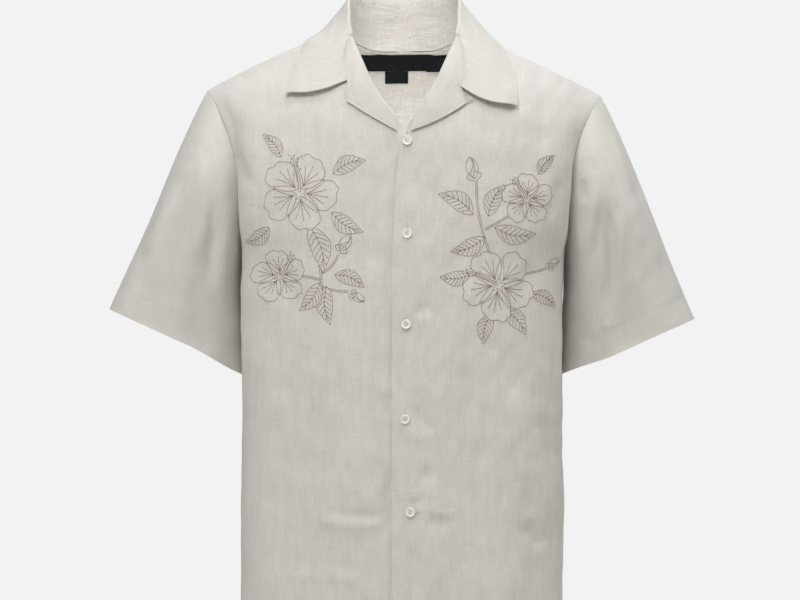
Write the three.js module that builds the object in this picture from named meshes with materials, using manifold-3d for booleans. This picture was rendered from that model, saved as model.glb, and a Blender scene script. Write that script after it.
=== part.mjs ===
// A short-sleeved camp-collar shirt in linen, filled out as if worn, with nobody in it.
// Millimetres. +Z is up, the front faces -Y, and +X is the wearer's left.
// The origin is the middle of the neck opening, level with the back of the neckline.

import * as THREE from "three";
import { mergeVertices } from "three/addons/utils/BufferGeometryUtils.js";
import Module from "manifold-3d";

const wasm = await Module();
wasm.setup();

// Cloth

const CLOTH = 1.2; // wall of one layer of linen
const HEM_WALL = 1.6; // wall where a hem is turned up inside
const FACED_WALL = 1.6; // wall of the lapels and collar, two layers with an interlining
const LABEL_WALL = 0.9;
const SEAM = 0.3; // gap at each seam

// Driving sizes of the body

const HEM_Z = -740;
const PIT_Z = -255; // underarm
const V_Z = -100; // bottom of the neck opening
const SIDE_X = 189; // side seam from the centre
const SIDE_Y = 8;
const FRONT_Y = -131; // front at the centre line
const BACK_Y = 118; // back at the centre line
const TIP = [236, 3, -61]; // top of the armhole
const NECK_POINT = [72, -5, 17]; // where the shoulder seam meets the collar
const BACK_NECK = [0, 72, -3];

// One row for each level of half of the body, from the front hem over the shoulder to the back hem.
// inner lies on the centre line or the neckline, and outer on the side seam or the armhole.
// The cloth leaves inner with the slopes sweep (dy/dx) and fall (dz/dx), held for pullIn.
// It reaches outer with the heading turn (0 sideways, 90 to the back) and the slope drop, held for pullOut.
const LEVELS = [
  { inner: [0, FRONT_Y, HEM_Z], outer: [SIDE_X, SIDE_Y, HEM_Z],
    sweep: 0, fall: 0, pullIn: 120, turn: 99, drop: 0, pullOut: 92 },
  { inner: [0, FRONT_Y + 2, -600], outer: [SIDE_X, SIDE_Y, -600],
    sweep: 0, fall: 0, pullIn: 120, turn: 99, drop: 0, pullOut: 92 },
  { inner: [0, FRONT_Y + 3, -450], outer: [SIDE_X - 1, SIDE_Y, -450],
    sweep: 0, fall: 0, pullIn: 120, turn: 99, drop: 0, pullOut: 92 },
  { inner: [0, FRONT_Y + 2, -330], outer: [SIDE_X - 1, SIDE_Y, -330],
    sweep: 0, fall: 0, pullIn: 122, turn: 99, drop: 0, pullOut: 92 },
  { inner: [0, FRONT_Y + 1, PIT_Z - 17], outer: [SIDE_X + 1, SIDE_Y, PIT_Z - 10],
    sweep: 0, fall: 0, pullIn: 124, turn: 99, drop: 0, pullOut: 90 },
  { inner: [0, FRONT_Y + 1, PIT_Z - 5], outer: [SIDE_X + 1, SIDE_Y, PIT_Z],
    sweep: 0, fall: 0, pullIn: 124, turn: 100, drop: 0, pullOut: 88 },
  { inner: [0, FRONT_Y + 1, -215], outer: [194, -24, -215],
    sweep: 0, fall: 0, pullIn: 122, turn: 102, drop: 0, pullOut: 68 },
  { inner: [0, FRONT_Y + 3, -155], outer: [198, -42, -168],
    sweep: 0, fall: 0, pullIn: 118, turn: 98, drop: 0, pullOut: 52 },
  { inner: [0, -125, V_Z], outer: [205, -44, -124],
    sweep: 0, fall: 0, pullIn: 104, turn: 84, drop: -0.1, pullOut: 46 },
  { inner: [29, -114, -60], outer: [218, -34, -92],
    sweep: 0.03, fall: -0.05, pullIn: 84, turn: 58, drop: -0.35, pullOut: 42 },
  { inner: [48, -98, -28], outer: [227, -20, -74],
    sweep: 0.08, fall: -0.12, pullIn: 68, turn: 36, drop: -0.5, pullOut: 40 },
  { inner: [58, -76, -6], outer: [232, -10, -66],
    sweep: 0.15, fall: -0.3, pullIn: 60, turn: 18, drop: -0.6, pullOut: 40 },
  { inner: [65.5, -50, 9.5], outer: [235, -3, -62],
    sweep: 0.08, fall: -0.38, pullIn: 56, turn: 8, drop: -0.62, pullOut: 40 },
  { inner: NECK_POINT, outer: TIP,
    sweep: 0.02, fall: -0.43, pullIn: 54, turn: 2, drop: -0.62, pullOut: 40 },
  { inner: [63, 40, 10], outer: [234, 16, -64],
    sweep: -0.05, fall: -0.38, pullIn: 58, turn: -14, drop: -0.58, pullOut: 40 },
  { inner: [34, 67, -0.5], outer: [229, 33, -74],
    sweep: -0.03, fall: -0.2, pullIn: 66, turn: -34, drop: -0.48, pullOut: 42 },
  { inner: BACK_NECK, outer: [220, 49, -94],
    sweep: 0, fall: -0.02, pullIn: 84, turn: -54, drop: -0.34, pullOut: 44 },
  { inner: [0, 92, -55], outer: [208, 60, -130],
    sweep: 0, fall: 0, pullIn: 100, turn: -72, drop: -0.12, pullOut: 48 },
  { inner: [0, 108, -115], outer: [200, 60, -176],
    sweep: 0, fall: 0, pullIn: 112, turn: -78, drop: 0, pullOut: 54 },
  { inner: [0, 116, -180], outer: [195, 40, -226],
    sweep: 0, fall: 0, pullIn: 116, turn: -80, drop: 0, pullOut: 62 },
  { inner: [0, BACK_Y, PIT_Z + 10], outer: [SIDE_X + 1, SIDE_Y, PIT_Z],
    sweep: 0, fall: 0, pullIn: 116, turn: -80, drop: 0, pullOut: 74 },
  { inner: [0, BACK_Y, PIT_Z - 2], outer: [SIDE_X + 1, SIDE_Y, PIT_Z - 10],
    sweep: 0, fall: 0, pullIn: 116, turn: -81, drop: 0, pullOut: 75 },
  { inner: [0, BACK_Y - 3, -330], outer: [SIDE_X - 1, SIDE_Y, -330],
    sweep: 0, fall: 0, pullIn: 114, turn: -81, drop: 0, pullOut: 76 },
  { inner: [0, BACK_Y - 6, -450], outer: [SIDE_X - 1, SIDE_Y, -450],
    sweep: 0, fall: 0, pullIn: 112, turn: -81, drop: 0, pullOut: 76 },
  { inner: [0, BACK_Y - 4, -600], outer: [SIDE_X, SIDE_Y, -600],
    sweep: 0, fall: 0, pullIn: 112, turn: -81, drop: 0, pullOut: 76 },
  { inner: [0, BACK_Y, HEM_Z], outer: [SIDE_X, SIDE_Y, HEM_Z],
    sweep: 0, fall: 0, pullIn: 114, turn: -81, drop: 0, pullOut: 76 },
];
const PIT_FRONT = 5; // places in LEVELS
const V_ROW = 8;
const GORGE_ROW = 12; // where the fold of the lapel runs on into the collar
const SHOULDER_ROW = 13;
const BACK_NECK_ROW = 16;
const PIT_BACK = 20;
const LAST_ROW = LEVELS.length - 1;

// Small vector helpers

const add = (a, b, k = 1) => a.map((n, i) => n + k * b[i]);
const mix = (a, b, k) => a.map((n, i) => n + k * (b[i] - n));
const dot = (a, b) => a[0] * b[0] + a[1] * b[1] + a[2] * b[2];
const length = (a) => Math.hypot(...a);
const unit = (a) => a.map((n) => n / length(a));
const cross = (a, b) => [
  a[1] * b[2] - a[2] * b[1],
  a[2] * b[0] - a[0] * b[2],
  a[0] * b[1] - a[1] * b[0],
];
const mirrored = (side, a) => [side * a[0], a[1], a[2]];
const radians = (degrees) => (degrees * Math.PI) / 180;
const clamp = (x, low, high) => Math.min(high, Math.max(low, x));
const ease = (x) => clamp(x, 0, 1) ** 2 * (3 - 2 * clamp(x, 0, 1));
const steps = (from, to, count) =>
  Array.from({ length: count + 1 }, (_, i) => from + ((to - from) * i) / count);

// A cubic curve through four control points.
function bezier(p, t) {
  const k = 1 - t;
  const weights = [k * k * k, 3 * k * k * t, 3 * k * t * t, t * t * t];
  return [0, 1, 2].map((axis) => weights.reduce((sum, w, i) => sum + w * p[i][axis], 0));
}

// A smooth curve through rows of numbers that stand at uneven knots, at a place counted in rows.
function throughRows(rows, knots, at) {
  const last = rows.length - 1;
  const i = clamp(Math.floor(at), 0, last - 1);
  const f = at - i;
  const span = (j) => knots[j + 1] - knots[j];
  const slope = (j, n) => (rows[j + 1][n] - rows[j][n]) / span(j);
  const tangent = (j, n) => {
    if (j === 0) return slope(0, n);
    if (j === last) return slope(last - 1, n);
    return (slope(j - 1, n) * span(j) + slope(j, n) * span(j - 1)) / (span(j) + span(j - 1));
  };
  return rows[i].map((_, n) => {
    const rise = f * f * (3 - 2 * f);
    const lead = f * (1 - f) * (1 - f) * span(i) * tangent(i, n);
    const trail = f * f * (f - 1) * span(i) * tangent(i + 1, n);
    return rows[i][n] * (1 - rise) + rows[i + 1][n] * rise + lead + trail;
  });
}

// The same, at a place given as a knot value.
function throughKnots(rows, knots, value) {
  let i = 0;
  while (i < knots.length - 2 && value > knots[i + 1]) i += 1;
  return throughRows(rows, knots, i + (value - knots[i]) / (knots[i + 1] - knots[i]));
}

// Body

// Each level as the four control points of its row, twelve numbers in all.
function controlsOf(level) {
  const start = unit([1, level.sweep, level.fall]);
  const heading = radians(level.turn);
  const end = unit([Math.cos(heading), Math.sin(heading), level.drop]);
  return [
    ...level.inner,
    ...add(level.inner, start, level.pullIn),
    ...add(level.outer, end, -level.pullOut),
    ...level.outer,
  ];
}

const CONTROLS = LEVELS.map(controlsOf);
const KNOTS = [0];
for (let i = 1; i < LEVELS.length; i++) {
  const innerRun = length(add(LEVELS[i].inner, LEVELS[i - 1].inner, -1));
  const outerRun = length(add(LEVELS[i].outer, LEVELS[i - 1].outer, -1));
  KNOTS.push(KNOTS[i - 1] + (innerRun + outerRun) / 2);
}

// The smooth body of the wearer's left half, at s across (0 centre or neckline, 1 side or armhole)
// and v up the front and down the back, counted in rows of LEVELS.
function plainBody(s, v) {
  const c = throughRows(CONTROLS, KNOTS, v);
  const p = [c.slice(0, 3), c.slice(3, 6), c.slice(6, 9), c.slice(9, 12)];
  return s < 0 ? mirrored(-1, bezier(p, -s)) : bezier(p, s);
}

function plainNormal(s, v) {
  const d = 0.01;
  const across = add(plainBody(s + d, v), plainBody(s - d, v), -1);
  const low = plainBody(s, Math.max(0, v - d));
  const high = plainBody(s, Math.min(LAST_ROW, v + d));
  return unit(cross(across, add(high, low, -1)));
}

// The largest soft folds, seen straight on: each runs from one end [x, z] to the other.
// rise is out of the cloth, and it dies away over width and at both ends.
const FOLDS = [
  { on: "front", from: [-214, -60], to: [-200, -190], width: 12, rise: -4 },
  { on: "front", from: [-190, -60], to: [-182, -230], width: 18, rise: 4 },
  { on: "front", from: [186, -70], to: [178, -220], width: 20, rise: 3 },
  { on: "front", from: [128, -380], to: [190, -610], width: 20, rise: 5 },
  { on: "front", from: [150, -520], to: [176, -700], width: 18, rise: -5 },
  { on: "front", from: [-150, -330], to: [-120, -720], width: 34, rise: -4 },
  { on: "front", from: [-80, -240], to: [-60, -640], width: 30, rise: 3 },
  { on: "front", from: [84, -300], to: [92, -660], width: 30, rise: -3 },
  { on: "back", from: [-176, -90], to: [-150, -300], width: 26, rise: -5 },
  { on: "back", from: [172, -90], to: [152, -320], width: 26, rise: -5 },
  { on: "back", from: [-96, -300], to: [-112, -735], width: 32, rise: 5 },
  { on: "back", from: [-30, -340], to: [-22, -735], width: 32, rise: -4 },
  { on: "back", from: [62, -280], to: [78, -735], width: 34, rise: 5 },
  { on: "back", from: [146, -360], to: [150, -735], width: 26, rise: -4 },
];

function foldRise(on, x, z) {
  let rise = 0;
  for (const fold of FOLDS.filter((f) => f.on === on)) {
    const run = [fold.to[0] - fold.from[0], fold.to[1] - fold.from[1]];
    const span = Math.hypot(...run);
    const away = [x - fold.from[0], z - fold.from[1]];
    const along = (away[0] * run[0] + away[1] * run[1]) / span / span;
    const off = (away[0] * run[1] - away[1] * run[0]) / span;
    rise += fold.rise * ease(along * 3) * ease((1 - along) * 3) * Math.exp(-((off / fold.width) ** 2));
  }
  return rise;
}

// The front edges lap, with the wearer's left one on top.
const LAP = 1.25; // each front moves this far from the middle of the lap
const LAP_REACH = 80; // the fronts are back on the plain body here

// A point on the outside of the body, with the way out of the cloth. side is 1 on the wearer's left.
function bodyAt(side, s, v) {
  const at = plainBody(s, v);
  const out = plainNormal(s, v);
  const front = v < SHOULDER_ROW;
  const calm = ease((1 - s) * 8) * ease(Math.abs(v - SHOULDER_ROW) / 2);
  const lap = front ? side * LAP * ease(1 - Math.abs(at[0]) / LAP_REACH) : 0;
  const rise = lap + calm * foldRise(front ? "front" : "back", side * at[0], at[2]);
  return { point: mirrored(side, add(at, out, rise)), out: mirrored(side, out) };
}

const SEEDS = [];
for (const v of steps(0, LAST_ROW, LAST_ROW * 4)) {
  for (const s of steps(0, 1, 20)) SEEDS.push({ s, v, at: plainBody(s, v) });
}

// The same, found from the x and z seen straight from the front or the back.
function bodySeenAt(x, z, back = false) {
  const side = x < 0 ? -1 : 1;
  const ahead = Math.abs(x);
  const far = (seed) => Math.hypot(seed.at[0] - ahead, seed.at[2] - z);
  const shown = SEEDS.filter((seed) => seed.v > SHOULDER_ROW === back);
  let { s, v } = shown.reduce((best, seed) => (far(seed) < far(best) ? seed : best));
  const d = 1e-3;
  for (let turn = 0; turn < 6; turn++) {
    const here = plainBody(s, v);
    const ds = add(plainBody(s + d, v), here, -1);
    const dv = add(plainBody(s, v + d), here, -1);
    const det = ds[0] * dv[2] - dv[0] * ds[2];
    const miss = [ahead - here[0], z - here[2]];
    s += clamp(((miss[0] * dv[2] - miss[1] * dv[0]) / det) * d, -0.1, 0.1);
    v += clamp(((miss[1] * ds[0] - miss[0] * ds[2]) / det) * d, -0.5, 0.5);
    v = back ? clamp(v, SHOULDER_ROW, LAST_ROW - 0.01) : clamp(v, 0, SHOULDER_ROW - 0.01);
  }
  return bodyAt(side, s, v);
}

// Walls

// How far the shoulders and cuffs hang from an even pair, and how much farther out the right side is.
const RAISED = { left: 5.5, right: 12 };
const CUFF_RAISED = { left: -5.5, right: 6 };
const SIDE_SPREAD = 5;

// A point moved to the slightly uneven hang of the picture. The middle of the shirt stays as it is.
function asItHangs([x, y, z]) {
  const side = x < 0 ? "right" : "left";
  const away = Math.abs(x);
  const shoulder = ease((away - 78) / 40) * ease((40 - z) / 45) * ease((y + 75) / 60);
  const high = ease((z + 260) / 200);
  const cuff = CUFF_RAISED[side] * ease((away - 195) / 60) * (1 - high);
  const spread = (x < 0 ? -SIDE_SPREAD : 0) * ease((away - 120) / 60) * ease((-190 - z) / 120);
  return [x + spread, y, z + shoulder * (RAISED[side] * high + cuff)];
}

// A geometry from points and faces as they hang, turned round if its faces point inwards.
function facingOut(evenPoints, faces) {
  const points = evenPoints.map(asItHangs);
  const volume = faces.reduce((sum, [a, b, c]) => sum + dot(points[a], cross(points[b], points[c])), 0);
  const turned = volume < 0 ? faces.map(([a, b, c]) => [a, c, b]) : faces;
  const geometry = new THREE.BufferGeometry();
  geometry.setAttribute("position", new THREE.Float32BufferAttribute(points.flat(), 3));
  geometry.setIndex(turned.flat());
  geometry.computeVertexNormals();
  return geometry;
}

// One closed wall from a grid of points on the shown face and the ways out of it.
// A round grid joins its last column to its first.
function closedWall(grid, wallAt, round = false) {
  const rows = grid.length;
  const columns = grid[0].length;
  const shown = grid.flat().map((cell) => cell.point);
  const hidden = grid.flatMap((row, i) => row.map((cell) => add(cell.point, cell.out, -wallAt(i))));
  const front = (i, j) => i * columns + (j % columns);
  const behind = (i, j) => rows * columns + front(i, j);
  const faces = [];
  const quad = (a, b, c, d) => faces.push([a, b, c], [a, c, d]);
  const lastColumn = round ? columns : columns - 1;
  for (let j = 0; j < lastColumn; j++) {
    for (let i = 0; i < rows - 1; i++) {
      quad(front(i, j), front(i, j + 1), front(i + 1, j + 1), front(i + 1, j));
      quad(behind(i, j), behind(i + 1, j), behind(i + 1, j + 1), behind(i, j + 1));
    }
    quad(front(0, j + 1), front(0, j), behind(0, j), behind(0, j + 1));
    quad(front(rows - 1, j), front(rows - 1, j + 1), behind(rows - 1, j + 1), behind(rows - 1, j));
  }
  for (let i = 0; i < rows - 1 && !round; i++) {
    quad(front(i, 0), front(i + 1, 0), behind(i + 1, 0), behind(i, 0));
    quad(front(i + 1, lastColumn), front(i, lastColumn), behind(i, lastColumn), behind(i + 1, lastColumn));
  }
  return facingOut([...shown, ...hidden], faces);
}

// Adds the ways out to a grid of bare points, from each point's neighbours.
function withWaysOut(points, turn, round = false) {
  const columns = points[0].length;
  const beside = (row, j) => (round ? row[(j + columns) % columns] : row[clamp(j, 0, columns - 1)]);
  return points.map((row, i) => {
    const below = points[Math.max(0, i - 1)];
    const above = points[Math.min(points.length - 1, i + 1)];
    return row.map((point, j) => {
      const across = add(beside(row, j + 1), beside(row, j - 1), -1);
      const along = add(above[j], below[j], -1);
      return { point, out: unit(cross(across, along)).map((n) => n * turn) };
    });
  });
}

// Places between two rows of LEVELS, about one step of cloth apart.
function rowsBetween(from, to, step) {
  const rows = [from];
  for (let i = from; i < to; i++) {
    const count = Math.max(1, Math.round((KNOTS[i + 1] - KNOTS[i]) / step));
    rows.push(...steps(i, i + 1, count).slice(1));
  }
  return rows;
}

// Fronts

const ROW_STEP = 33;
const YOKE_STEP = 11; // finer round the neck
const FRONT_COLUMNS = 14;
const HALF_BACK_COLUMNS = 11;
const TOP_EDGE = { neck: 8.5, belly: 15 }; // how far the upper front runs past the centre line
const UNDER_EDGE = { neck: 8.5, belly: 24 };
const EDGE_EASE = { neck: 22, belly: 200 }; // each is reached this far below the neck opening
const SEAM_SHARE = 0.0012; // half a seam as a share of a row's width
const SEAM_ROW = 0.004; // half a seam as a share of the step between two levels at the shoulder

function frontPanel(side) {
  const edge = side > 0 ? TOP_EDGE : UNDER_EDGE;
  const belly = rowsBetween(0, V_ROW, ROW_STEP);
  const rows = [...belly, ...rowsBetween(V_ROW, SHOULDER_ROW, YOKE_STEP).slice(1)];
  const grid = rows.map((v) => {
    const row = throughRows(CONTROLS, KNOTS, v);
    const below = V_Z - row[2];
    const widening = (edge.belly - edge.neck) * ease(below / EDGE_EASE.belly);
    const past = edge.neck * ease(below / EDGE_EASE.neck) + widening;
    const start = v > V_ROW - 1 ? SEAM_SHARE : 0;
    const from = start - past / 3 / (row[3] - row[0]);
    const at = Math.min(v, SHOULDER_ROW - SEAM_ROW);
    return steps(from, 1 - SEAM_SHARE, FRONT_COLUMNS).map((s) => bodyAt(side, s, at));
  });
  return closedWall(grid, (i) => (i === 0 ? HEM_WALL : CLOTH));
}

// Back: one piece from side to side, reaching over the shoulders to the shoulder seams.
// Its two halves share the points of the centre line below the neck.
function backPanel() {
  const yoke = rowsBetween(SHOULDER_ROW, BACK_NECK_ROW + 1, YOKE_STEP);
  const rows = [...yoke, ...rowsBetween(BACK_NECK_ROW + 1, LAST_ROW, ROW_STEP).slice(1)];
  const last = { row: rows.length - 1, column: HALF_BACK_COLUMNS };
  const points = [];
  const indices = new Map();
  const pointAt = (side, i, j, depth) => {
    const shared = j === 0 && rows[i] >= BACK_NECK_ROW;
    const key = [shared ? 0 : side, i, j, depth].join();
    if (!indices.has(key)) {
      const s = (j / last.column) * (1 - SEAM_SHARE);
      const cell = bodyAt(side, s, Math.max(rows[i], SHOULDER_ROW + SEAM_ROW));
      const wall = i === last.row ? HEM_WALL : CLOTH;
      indices.set(key, points.length);
      points.push(add(cell.point, cell.out, -depth * wall));
    }
    return indices.get(key);
  };
  const faces = [];
  for (const side of [1, -1]) {
    const at = (i, j, depth = 0) => pointAt(side, i, j, depth);
    const quad = (...corners) => {
      const [a, b, c, d] = side > 0 ? corners : corners.reverse();
      faces.push([a, b, c], [a, c, d]);
    };
    for (let i = 0; i < last.row; i++) {
      for (let j = 0; j < last.column; j++) {
        quad(at(i, j), at(i, j + 1), at(i + 1, j + 1), at(i + 1, j));
        quad(at(i, j, 1), at(i + 1, j, 1), at(i + 1, j + 1, 1), at(i, j + 1, 1));
      }
      quad(at(i, last.column), at(i, last.column, 1), at(i + 1, last.column, 1), at(i + 1, last.column));
      if (rows[i] < BACK_NECK_ROW) quad(at(i, 0), at(i + 1, 0), at(i + 1, 0, 1), at(i, 0, 1));
    }
    for (let j = 0; j < last.column; j++) {
      quad(at(0, j), at(0, j, 1), at(0, j + 1, 1), at(0, j + 1));
      quad(at(last.row, j), at(last.row, j + 1), at(last.row, j + 1, 1), at(last.row, j, 1));
    }
  }
  return facingOut(points, faces);
}

// Sleeves

const CUFF_OUT = [349, 14, -317]; // the cuff farthest from the body
const CUFF_IN = [187, 34, -390]; // and beside it, a little behind its side seam
const CUFF_DEPTH = 50; // half of the opening from front to back
const CUFF_PULL = 70; // the sleeve runs straight into the cuff over this
const SLEEVE_ROWS = 10;
const SLEEVE_STEP = 26; // between columns, round the armhole

// One row for each place round the armhole: the way the sleeve leaves it, held for pull.
// turn is the place on the cuff, 0 beside the body and 180 away from it, and the front comes first.
const SLEEVE = [
  { v: PIT_FRONT, leave: [0.1, 0, -1], pull: 40, turn: 0 },
  { v: 6, leave: [0.35, -0.3, -0.9], pull: 40, turn: 40 },
  { v: 7, leave: [0.6, -0.55, -0.6], pull: 46, turn: 72 },
  { v: 8, leave: [0.72, -0.5, -0.5], pull: 60, turn: 106 },
  { v: 9, leave: [0.7, -0.3, -0.65], pull: 74, turn: 136 },
  { v: 10, leave: [0.6, -0.12, -0.8], pull: 84, turn: 154 },
  { v: SHOULDER_ROW, leave: [0.48, 0, -0.88], pull: 90, turn: 180 },
  { v: 15, leave: [0.58, 0.15, -0.82], pull: 84, turn: 204 },
  { v: 16, leave: [0.7, 0.3, -0.65], pull: 74, turn: 226 },
  { v: 17, leave: [0.72, 0.5, -0.5], pull: 60, turn: 256 },
  { v: 18, leave: [0.62, 0.55, -0.6], pull: 46, turn: 286 },
  { v: 19, leave: [0.35, 0.35, -0.9], pull: 40, turn: 322 },
  { v: PIT_BACK, leave: [0.1, 0, -1], pull: 40, turn: 360 },
];

// The sleeves' own folds: turn is the place round the cuff, and from and to count from armhole to cuff.
const SLEEVE_FOLDS = [
  { side: 1, turn: 92, from: 0.25, to: 1.1, width: 13, rise: -6 },
  { side: 1, turn: 128, from: 0.2, to: 1.1, width: 15, rise: 3 },
  { side: 1, turn: 60, from: 0.1, to: 1, width: 14, rise: 3 },
  { side: 1, turn: 262, from: 0.15, to: 1.1, width: 14, rise: -5 },
  { side: -1, turn: 76, from: 0.2, to: 1.1, width: 14, rise: -4 },
  { side: -1, turn: 112, from: 0.3, to: 1.1, width: 16, rise: -3 },
  { side: -1, turn: 140, from: 0.2, to: 1.1, width: 14, rise: 3 },
  { side: -1, turn: 270, from: 0.1, to: 1.1, width: 15, rise: -5 },
];

function sleeveFoldRise(side, turn, along) {
  let rise = 0;
  for (const fold of SLEEVE_FOLDS.filter((f) => f.side === side)) {
    const far = (along - fold.from) / (fold.to - fold.from);
    const off = (turn - fold.turn) / fold.width;
    rise += fold.rise * ease(far * 3) * ease((1 - far) * 6) * Math.exp(-off * off);
  }
  return rise;
}

// The columns of the sleeve: each runs from the armhole to the cuff.
function sleeveColumns() {
  const middle = mix(CUFF_OUT, CUFF_IN, 0.5);
  const wide = add(CUFF_OUT, middle, -1);
  const down = unit(cross([0, 1, 0], wide));
  const knots = SLEEVE.map((row) => KNOTS[row.v]);
  const rows = SLEEVE.map((row) => [...unit(row.leave), row.pull, row.turn]);
  const places = SLEEVE.slice(1).flatMap((row, i) => {
    const run = rowsBetween(SLEEVE[i].v, row.v, ROW_STEP).map((v) => plainBody(1, v));
    const around = run.slice(1).reduce((sum, p, k) => sum + length(add(p, run[k], -1)), 0);
    return steps(i, i + 1, Math.max(1, Math.round(around / SLEEVE_STEP))).slice(0, -1);
  });
  return places.map((at) => {
    const i = Math.floor(at);
    const v = SLEEVE[i].v + (at - i) * (SLEEVE[i + 1].v - SLEEVE[i].v);
    const [lx, ly, lz, pull, turn] = throughRows(rows, knots, at);
    const leave = unit([lx, ly, lz]);
    const bodyOut = plainNormal(1, v);
    const valley = dot(leave, bodyOut) > 0;
    const clear = unit(add(leave, bodyOut, valley ? 1 : 0));
    const start = add(plainBody(1, v), clear, valley ? 2 * SEAM : SEAM);
    const outward = (1 - Math.cos(radians(turn))) / 2;
    const round = add(middle, wide, 2 * outward - 1);
    const end = add(round, [0, -1, 0], CUFF_DEPTH * Math.sin(radians(turn)));
    const arrive = unit(mix([0, 0, -1], down, outward));
    const controls = [start, add(start, leave, pull), add(end, arrive, -CUFF_PULL), end];
    return { turn, controls, seamOut: valley ? null : bodyOut };
  });
}

function sleeve(side) {
  const columns = sleeveColumns();
  const plain = steps(0, 1, SLEEVE_ROWS).map((t) => columns.map(({ controls }) => bezier(controls, t)));
  const grid = withWaysOut(plain, -1, true).map((row, i) => row.map((cell, j) => {
    const rise = sleeveFoldRise(side, columns[j].turn, i / SLEEVE_ROWS);
    const out = (i === 0 && columns[j].seamOut) || cell.out;
    return { point: mirrored(side, add(cell.point, cell.out, rise)), out: mirrored(side, out) };
  }));
  return closedWall(grid, (i) => (i === SLEEVE_ROWS ? HEM_WALL : CLOTH), true);
}

// Lapels: each facing starts behind the front's edge, rolls over it and lies on the front.

const ROLL_FROM = 2.4; // radius of the roll at the bottom of the neck opening
const ROLL_TO = 3.8; // and at the collar
const BEHIND = 1.3; // the facing starts this far behind the front's outside
const LAPEL_GAP = 0.5; // and this far past its edge
const EDGE_LIFT = 3.4; // the lapel's free edge stands this far off the front
const LAPEL_START = 0.11; // the lapels begin this share of the way up from the neck opening
const LAPEL_TIP = 0.62; // share of the way up at which a row ends in the tip
const TIP_ROWS = 7; // rows of points below the tip
const LAPEL_ROWS = 12;
const LAPEL_COLUMNS = [...steps(0, 0.5, 4), ...steps(0.5, 1, 5).slice(1)];
const INSIDE_NOTCH = [-27, -8]; // rows above the tip bend round this place, counted from the notch
// Seen from the front, in x and z: the lower edge's middle, the tip, and the notch where the collar starts.
const LAPEL = {
  left: { middle: [40, -86], tip: [75, -64], notch: [67, -46] },
  right: { middle: [34, -85], tip: [70, -62], notch: [67, -40] },
};

// The lapel's free edge, u of the way from the neck opening to the notch.
function lapelEdge(side, u) {
  const { middle, tip, notch } = side > 0 ? LAPEL.left : LAPEL.right;
  if (u > LAPEL_TIP) return mix(tip, notch, (u - LAPEL_TIP) / (1 - LAPEL_TIP));
  const t = (u - LAPEL_START) / (LAPEL_TIP - LAPEL_START);
  const start = [8, V_Z + 1];
  return mix(mix(start, middle, t), mix(middle, tip, t), t);
}

// A row's way over the front, from the roll to the free edge. Above the tip it bends to pass inside the notch.
function lapelRow(side, u, from, t) {
  const to = lapelEdge(side, u);
  if (u <= LAPEL_TIP) return mix(from, to, t);
  const { notch } = side > 0 ? LAPEL.left : LAPEL.right;
  const past = (1 - u) / (1 - LAPEL_TIP);
  const inside = add(notch, INSIDE_NOTCH, past);
  const bend = mix(inside, mix(from, to, 0.5), past);
  return mix(mix(from, bend, t), mix(bend, to, t), t);
}

// A point of the lapel's shown face: w runs from 0 behind the front's edge, over the roll at 0.5, to 1.
function lapelAt(side, u, w) {
  const v = V_ROW + u * (GORGE_ROW - V_ROW);
  const edge = bodyAt(side, 0, v);
  const along = unit(add(bodyAt(side, 0, v + 0.02).point, edge.point, -1));
  const toOpening = cross(edge.out, along).map((n) => n * side);
  const roll = ROLL_FROM + (ROLL_TO - ROLL_FROM) * ease((u - LAPEL_START) * 2);
  const start = add(add(edge.point, edge.out, -BEHIND), toOpening, LAPEL_GAP);
  const angle = Math.PI * Math.min(1, 2 * w);
  const forward = add(start, toOpening, roll * Math.sin(angle));
  const round = add(forward, edge.out, roll * (1 - Math.cos(angle)));
  if (w <= 0.5) return round;
  const t = 2 * w - 1;
  const [x, z] = lapelRow(side, u, [side * edge.point[0], edge.point[2]], t);
  const under = bodySeenAt(side * x, z);
  const rolled = 2 * roll - BEHIND;
  const lying = add(under.point, under.out, rolled + (EDGE_LIFT - rolled) * ease(t));
  return mix(round, lying, ease(t * 4));
}

function lapelGrid(side) {
  const below = steps(LAPEL_START, LAPEL_TIP, TIP_ROWS);
  const rows = [...below, ...steps(LAPEL_TIP, 1, LAPEL_ROWS - TIP_ROWS).slice(1)];
  return withWaysOut(rows.map((u) => LAPEL_COLUMNS.map((w) => lapelAt(side, u, w))), side);
}

const lapel = (side) => closedWall(lapelGrid(side), () => FACED_WALL);

// Collar: one wall from the neck seam up the stand, over the roll and down the leaf.

const COLLAR_COLUMNS = 20;
const COLLAR_GAP = 0.8; // to the lapel along the gorge seam, and twice as much at the notch
const STAND_FOOT = 1.1; // the stand starts this far above the cloth of the neckline
const FOOT_DIP = 0.4; // it starts this much lower where it leaves the lapel's roll
const FOOT_INSIDE = 1.6; // and this far inside the neckline
const FOOT_RUN = 0.62; // both die away over this share of the first row of LEVELS
const STAND_BEND = 0.6; // share of the stand's height below its bend
const COLLAR_ROLL = 7; // reach of the roll either side of its crest
const ROLL_LENGTH = 6; // length of cloth that the roll adds to the leaf
const LEAF_BULGE = 5; // the middle of the leaf stands out this far
const LEAF_LIFT = 3.6; // least height of the leaf's shown face over the front
const OVER_FRONT = { before: 1.8, below: 12 }; // place along the collar, and z, where it lies over the front
const ROLL_PLACE = 1.3; // place along the collar at which the lapel's roll ends

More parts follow.
